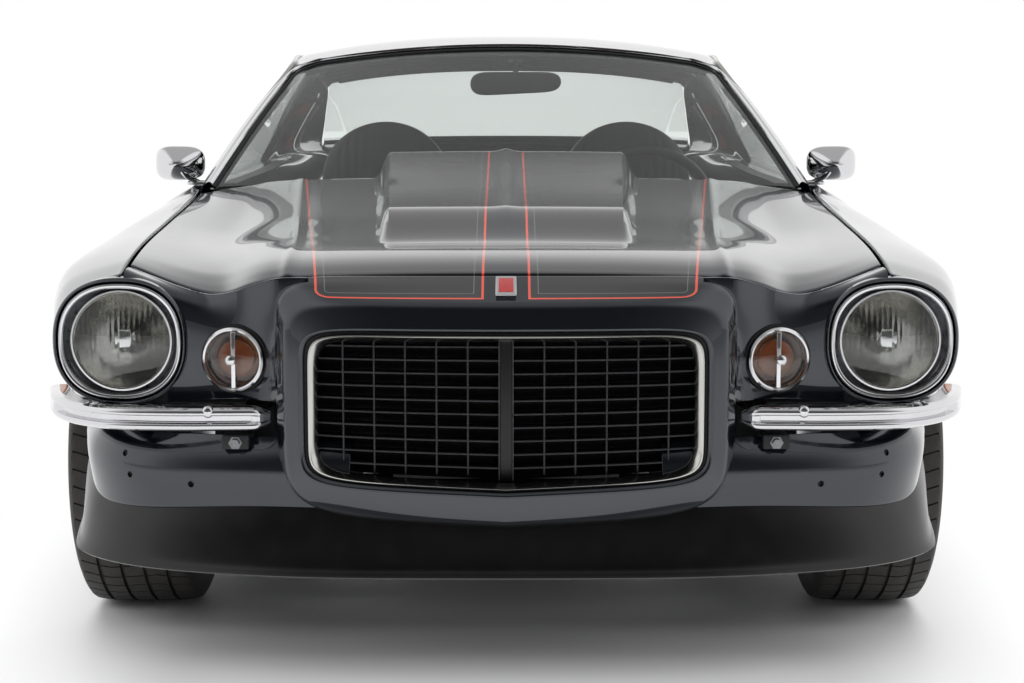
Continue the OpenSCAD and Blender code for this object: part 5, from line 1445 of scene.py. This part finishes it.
# Columns of the wheel's arms: radius, half width, distance along the column.
WHEEL_ARM = [(40, 17, -14), (90, 14, -10), (140, 12, -6), (178, 15, -3)]
CORNERS = ((-1, -1), (1, -1), (1, 1), (-1, 1))
t = circle(120)[:, None]
small = circle(20)
grip = GRIP_THICK + FINGER * np.abs(np.sin(20 * t)) ** 0.5
far = GRIP_R + grip * np.cos(small)
rings = list(at_wheel(np.stack([far * np.cos(t), far * np.sin(t), grip * np.sin(small)], -1)))
rim = loft("rim", rings + [rings[0]], black_plastic, caps=False)
hub = lathe("hub", WHEEL_HUB, WHEEL_AT, COLUMN_AXIS, black_plastic, 48)
arms = []
for a in np.radians((30, 150, 270)):
    way, off = np.array([math.cos(a), math.sin(a), 0]), np.array([-math.sin(a), math.cos(a), 0])
    rings = []
    for k in spread(0, len(WHEEL_ARM) - 1, 18):
        r, half, z = curve(WHEEL_ARM, k)
        rings.append(at_wheel([way * r + off * (half * c) + [0, 0, z + 3.5 * d] for c, d in CORNERS]))
    arms.append(loft("arm", rings, stainless, edge=1.2))
shaft = lathe("shaft", SHAFT, WHEEL_AT, COLUMN_AXIS, black_plastic, 40)
place(joined("steering_wheel_rim", [rim, hub, shaft] + arms), "body", "trim_plastic", "steering_wheel")

# Strip between rear window and trunk, and the parcel shelf under the glass
g = dome(spread(REAR_AXLE - 90, LID_FRONT, 12), spread(-1, 1, 50)[:, None], GAP, DECK)
place(slab("rear_deck_strip", g, g - [0, 0, PANEL_WALL], paint, 2), "body", "paint", "rear_deck")
shelf = block("shelf", (-560, DOOR_R + 318, 884), (560, REAR_AXLE - 88, 896), vinyl, 4)
drop = block("drop", (-545, REAR_AXLE - 92, 640), (545, REAR_AXLE - 80, 884), carpet, 3)
place(joined("parcel_shelf", [shelf, drop]), "body", "trim_plastic")

# Tail lamps: bright ring, domed red lens with a stepped middle
TAIL_RING = [(63, -3), (63, 6), (61, 11), (57, 13), (53.5, 11), (52.5, 4), (52.5, -3), (63, -3)]
TAIL_LENS = [
    (0, 13), (15, 12.7), (24, 11.8), (25, 9), (28, 9), (29, 11), (42, 8.5), (50, 4.5), (53, 0), (53, -20),
    (0, -20)]
rings, lenses = [], []
for x in (430, 620):
    at = (x, TAIL_Y - 57, 665)
    rings.append(lathe("ring", TAIL_RING, at, (0, 1, 0), chrome, 72))
    lenses.append(lathe("lens", TAIL_LENS, at, (0, 1, 0), red_lens, 72))
both(joined("tail_lamp_rings", rings), "chrome_plate")
both(joined("tail_lamp_lenses", lenses), "red_lens", "tail_lamps")

# Rear bumper: one rounded blade round the corners. Columns of its half path: x, y.
REAR_PATH = [
    [0, TAIL_Y - 36], [250, TAIL_Y - 36], [500, TAIL_Y - 36.5], [720, TAIL_Y - 38], [800, TAIL_Y - 40],
    [846, TAIL_Y - 50],
    [874, TAIL_Y - 84], [890, TAIL_Y - 157], [900, TAIL_Y - 228], [906, TAIL_Y - 298]]


# Columns of its section: outward distance, height before it is stretched.
REAR_SECTION = [
    (-6, -26), (12, -26), (24, -22), (31, -15), (34.5, -6), (35, 6), (32, 14), (26, 18), (24, 20), (15, 25),
    (-6, 26)]
REAR_Z, REAR_STRETCH = 515, 1.7
REAR_END = len(REAR_PATH) - 1.001


def rear_ring(k):
    """Section of the rear blade at k along its path, square to it."""
    p = curve(REAR_PATH, k)
    d = curve(REAR_PATH, min(k + 0.05, REAR_END)) - curve(REAR_PATH, max(k - 0.05, 0))
    n = np.array([-d[1], d[0]]) / np.linalg.norm(d)
    q = rounded([np.array(v, float) for v in REAR_SECTION], 2, 2)
    return [(p[0] + n[0] * a, p[1] + n[1] * a, REAR_Z + REAR_STRETCH * b) for a, b in q]


rings = [rear_ring(k) for k in spread(0, REAR_END, 100)]
flipped = [[(-x, y, z) for x, y, z in r] for r in rings[:0:-1]]
place(loft("rear_bumper_blade", flipped + rings, chrome), "body", "chrome_plate", "rear_bumper")


def patch(name, y0, y1, z0, z1, low, high, mat, edge):
    """Rounded plate on the body side, from low to high above the skin."""
    ys = spread(y0, y1, 12)
    g = np.stack([np.stack([side_x(ys, z + 0 * ys)[0], ys, z + 0 * ys], -1) for z in spread(z0, z1, 6)], 1)
    return slab(name, g + [high, 0, 0], g + [low, 0, 0], mat, edge)


# Side markers and door handles. Columns: name, y, z, lens, slot.
MARKERS = (("front_marker", -1950, 574, amber, "amber_lens"),
           ("rear_marker", TAIL_Y - 235, 610, red_lens, "red_lens"))
for name, y, z, mat, slot in MARKERS:
    both(patch(name + "_bezel", y - 42, y + 42, z - 18, z + 18, -4, 3, chrome, 2), "chrome_plate")
    both(patch(name + "_lens", y - 37, y + 37, z - 13, z + 13, 0, 6, mat, 2.5), slot)
plate = patch("plate", DOOR_R - 178, DOOR_R - 48, 742, 772, -3, 4, chrome, 3)
lift = patch("lift", DOOR_R - 168, DOOR_R - 82, 748, 766, 3, 16, chrome, 5)
LOCK = [(0, 9), (9, 8), (11, 4), (11, -6), (0, -6)]
LOCK_Y, LOCK_Z = DOOR_R - 66, 720
at = (side_x(np.array([LOCK_Y]), [LOCK_Z])[0][0], LOCK_Y, LOCK_Z)
lock = lathe("lock", LOCK, at, (1, 0, 0), chrome, 24)
pair(joined("door_left_handle", [plate, lift, lock]), "door_left", "chrome_plate")

# Cowl panel between hood and glass
w = spread(-0.985, 0.985, 60)
high = shield(0 * w, w) + [0, 3, -9]
low = np.stack([high[:, 0], mix(COWL_Y - 118, COWL_Y - 70, w * w), 834 + 0 * w], -1)
g = np.stack([mix(low, high, k) for k in spread(0, 1, 12)], 1)
place(slab("cowl_panel", g, g - [0, 0, 4], paint, 1.5), "body", "paint")

# Outer mirrors: bullet head, slanted stalk, foot on the door
MIRROR = np.array([835, DOOR_F + 105, 936.0])


MIRROR_HALF, MIRROR_TALL = 62, (41, 46)
# Columns: distance along the car, share of the full size.
HEAD_ROWS = [
    [-58, 0.04], [-57, 0.12], [-48, 0.34], [-33, 0.59], [-15, 0.81], [3, 0.95], [15, 1.0], [24, 1.0],
    [27, 0.975], [27, 0.945], [21, 0.935]]
SILVER_ROWS = [[20.5, 0.05], [20.5, 0.93], [22.5, 0.93], [22.5, 0.05]]
# Columns of the foot: height, share of the full size.
FOOT_ROWS = [[-4, 1], [2, 1], [5, 0.9], [7, 0.7], [8, 0.1]]
STALK = np.array([[-8, -36, -10], [-22, -27, -30], [-40, -14, -43], [-52, -4, -50]])


def mirror_ring(y, k):
    """Rounded section of the mirror's head, taller toward its outer end."""
    t = circle(72)
    tall = mix(*MIRROR_TALL, (np.cos(t) + 1) / 2)
    x, z = MIRROR_HALF * k * squared(np.cos(t), 0.6), tall * k * squared(np.sin(t), 0.6)
    return MIRROR + np.stack([x, y + 0 * t, z], -1)


head = loft("head", [mirror_ring(*row) for row in HEAD_ROWS], chrome)
stalk = tube("stalk", [curve(MIRROR + STALK, k) for k in spread(0, 3, 24)], 7.5, chrome, 16)
t = circle(40)
oval_foot = np.stack([31 * np.cos(t), 19 * np.sin(t), 0 * t], -1)
at = np.array([MIRROR[0] - 50, MIRROR[1], float(on(CREST, MIRROR[1])[2])])
foot = loft("foot", [at + oval_foot * k + [0, 0, h] for h, k in FOOT_ROWS], chrome)
pair(joined("mirror_left_head", [head, stalk, foot]), "door_left", "chrome_plate", "mirror_left")
silver = loft("mirror_left_glass", [mirror_ring(*row) for row in SILVER_ROWS], mirror_silver)
pair(silver, "door_left", "chrome_plate")

# Tyres: ribs between four grooves, cut by slanted sipes. Columns of the side wall: offset, radius.
SIDE_WALL = [
    [104, 226], [110, 232], [115, 240], [117.5, 243], [117.6, 247], [116.8, 248], [119.5, 258], [122, 272],
    [122.5, 280], [121.8, 290], [119.5, 301], [115, 311], [110, 318]]
RIBS = [[-106, -74], [-66, -27.5], [-19.5, 19.5], [27.5, 66], [74, 106]]
TREAD_HALF, TREAD_DROP = 106, 5.5
GROOVE, SIPE = 7.5, 4.5
PITCHES = 56
PITCH = 2 * math.pi / PITCHES
# Places in a pitch and how open the sipe is there
SIPE_STEPS = ((0, 0), (0.02, 1), (0.09, 1), (0.11, 0), (0.55, 0))


def tread_radius(a):
    """Radius of the tread at a distance from its middle, falling off at the shoulders."""
    return WHEEL_R - TREAD_DROP * abs(a / TREAD_HALF) ** 4


def tyre_grid():
    """Tyre about the X axis: rows round the wheel, each a closed section. A sipe opens at each pitch."""
    rows = [[-a, r, 0] for a, r in SIDE_WALL]
    for low, high in RIBS:
        rows += [[low - 0.8, tread_radius(low) - GROOVE, 0]] if low > -TREAD_HALF else []
        rows += [[a, tread_radius(a), 1] for a in spread(low, high, 4)]
        rows += [[high + 0.8, tread_radius(high) - GROOVE, 0]] if high < TREAD_HALF else []
    rows += [[a, r, 0] for a, r in SIDE_WALL[::-1]]
    a, r, land = np.array(rows).T
    slant = 0.5 * np.abs(((a + 47) / 93.5) % 2 - 1) + 0.25 * a / TREAD_HALF
    steps = [(pitch + offset, depth) for pitch in range(PITCHES) for offset, depth in SIPE_STEPS]
    at, depth = np.array(steps).T[..., None]
    turn = (at + slant * land) * PITCH
    radius = r - depth * land * SIPE
    return np.stack([a + 0 * turn, radius * np.sin(turn), radius * np.cos(turn)], -1)


g = tyre_grid()
rows, n = g.shape[:2]
faces = (np.array(grid_faces(rows + 1, n, wrap=True)) % (rows * n)).tolist()
for corner, x, y in WHEELS:
    tyre = settle(piece("tyre_" + corner + "_tread", g + [x, y, WHEEL_R], faces, rubber), 30)
    pair(tyre, "wheel_" + corner, "tyre_rubber", "tyre_" + corner)

# Finishes of the CAD nodes that stay in view
finishes = {
    "floor_pan": carpet, "tunnel": carpet, "trunk_floor": chassis_black, "sills": paint, "cowl": paint,
    "tail_panel": paint, "drivetrain": iron, "front_subframe": chassis_black, "rear_axle": chassis_black,
    "fuel_tank": steel, "exhaust": steel, "knuckle_left": iron, "knuckle_right": iron}
for node, mat in finishes.items():
    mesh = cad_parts[node].data
    mesh.materials.clear()
    mesh.materials.append(mat)


# Stage: pale floor, soft light and the camera
FLOOR_HALF = 40000
# Half size in metres of the floor's plain part under the car, and the width over which it turns white
FLOOR_PLAIN, FLOOR_FADE = (0.95, 1.8, 0), 0.85
corners = [(-FLOOR_HALF, -FLOOR_HALF, 0), (FLOOR_HALF, -FLOOR_HALF, 0), (FLOOR_HALF, FLOOR_HALF, 0),
           (-FLOOR_HALF, FLOOR_HALF, 0)]
floor = piece("floor", corners, [[0, 1, 2, 3]], finish("painted_studio_floor", "#f0f0f0", 0.45))
tree = floor.data.materials[0].node_tree
spot = add(tree, "TexCoord").outputs["Object"]
away = add(tree, "VectorMath", {0: spot}, operation="ABSOLUTE").outputs["Vector"]
for op, by in (("SUBTRACT", FLOOR_PLAIN), ("MAXIMUM", (0, 0, 0)), ("MULTIPLY", (2.2, 1, 0))):
    away = add(tree, "VectorMath", {0: away, 1: by}, operation=op).outputs["Vector"]
far = add(tree, "VectorMath", {0: away}, operation="LENGTH").outputs["Value"]
fade = eased(tree, far, 0.0, FLOOR_FADE)
# Gloss shows the floor ahead of the car as dim as the room there
along = add(tree, "SeparateXYZ", {"Vector": spot}).outputs["Y"]
ahead = add(tree, "MapRange", {"Value": along, "From Min": -4.6, "From Max": -2.7}).outputs["Result"]
white = maths(tree, "MAXIMUM", ahead, add(tree, "LightPath").outputs["Is Camera Ray"])
fade = maths(tree, "MULTIPLY", fade, white)
glow = add(tree, "Emission", {"Color": (1, 1, 1, 1), "Strength": 1.0})
shader = tree.nodes["Principled BSDF"]
blend = add(tree, "MixShader", {0: fade, 1: shader.outputs["BSDF"], 2: glow.outputs["Emission"]})
tree.links.new(blend.outputs["Shader"], tree.nodes["Material Output"].inputs["Surface"])

world = bpy.data.worlds.new("studio")
scene.world = world
world.use_nodes = True
tree = world.node_tree
tree.nodes.clear()
ray = add(tree, "LightPath")
way = add(tree, "SeparateXYZ", {"Vector": add(tree, "TexCoord").outputs["Generated"]}).outputs
# What gloss and glass show: white walls to head height, a ceiling dim over the car,
# a dark room behind the camera
wall = eased(tree, way["Z"], 0.22, 0.52, 1.0, 0.5)
wall = eased(tree, maths(tree, "ABSOLUTE", way["X"]), 0.28, 0.55, wall, 1.0)
shown = maths(tree, "MULTIPLY", wall, eased(tree, way["Y"], -0.85, -0.3, 0.1, 1.0))
mirrored = maths(tree, "MAXIMUM", ray.outputs["Is Glossy Ray"], ray.outputs["Is Transmission Ray"])
level = add(tree, "MapRange", {"Value": mirrored, "To Min": 0.5, "To Max": shown}).outputs["Result"]
level = maths(tree, "MAXIMUM", level, ray.outputs["Is Camera Ray"])
back = add(tree, "Background", {"Color": (1, 1, 1, 1), "Strength": level})
add(tree, "OutputWorld", {"Surface": back.outputs["Background"]})


def softbox(name, at, aim, width, depth, watts):
    """Wide soft lamp turned to its aim, unseen by gloss and glass; sizes in metres."""
    lamp = bpy.data.lights.new(name, "AREA")
    lamp.shape = "RECTANGLE"
    lamp.size, lamp.size_y = width, depth
    lamp.energy = watts
    obj = bpy.data.objects.new(name, lamp)
    scene.collection.objects.link(obj)
    obj.location = at
    obj.visible_glossy = False
    obj.visible_transmission = False
    obj.rotation_euler = (Vector(aim) - Vector(at)).to_track_quat("-Z", "Y").to_euler()
    return obj


softbox("overhead_softbox", (0, -0.4, 4.6), (0, -0.4, 0), 7.0, 6.0, 330)
softbox("front_fill", (0, -7.5, 4.2), (0, -3.0, 0.2), 5.0, 1.6, 170)
softbox("left_softbox", (5.2, -1.8, 2.4), (0.4, -1.2, 0.6), 1.6, 3.2, 70)
softbox("right_softbox", (-5.2, -1.8, 2.4), (-0.4, -1.2, 0.6), 1.6, 3.2, 70)

# Camera as worked out from the photo: lens in mm, place in metres, pitch and turn in degrees
LENS_MM = 66.94
CAMERA_AT = (0, -5.587, 1.089)
CAMERA_DOWN, CAMERA_TURN = 7.14, -0.18
lens = bpy.data.cameras.new("camera")
lens.sensor_width = 36
lens.lens = LENS_MM
camera = bpy.data.objects.new("camera", lens)
scene.collection.objects.link(camera)
camera.location = CAMERA_AT
camera.rotation_euler = (math.radians(90 - CAMERA_DOWN), 0, math.radians(CAMERA_TURN))
scene.camera = camera
scene.view_settings.view_transform = "Standard"
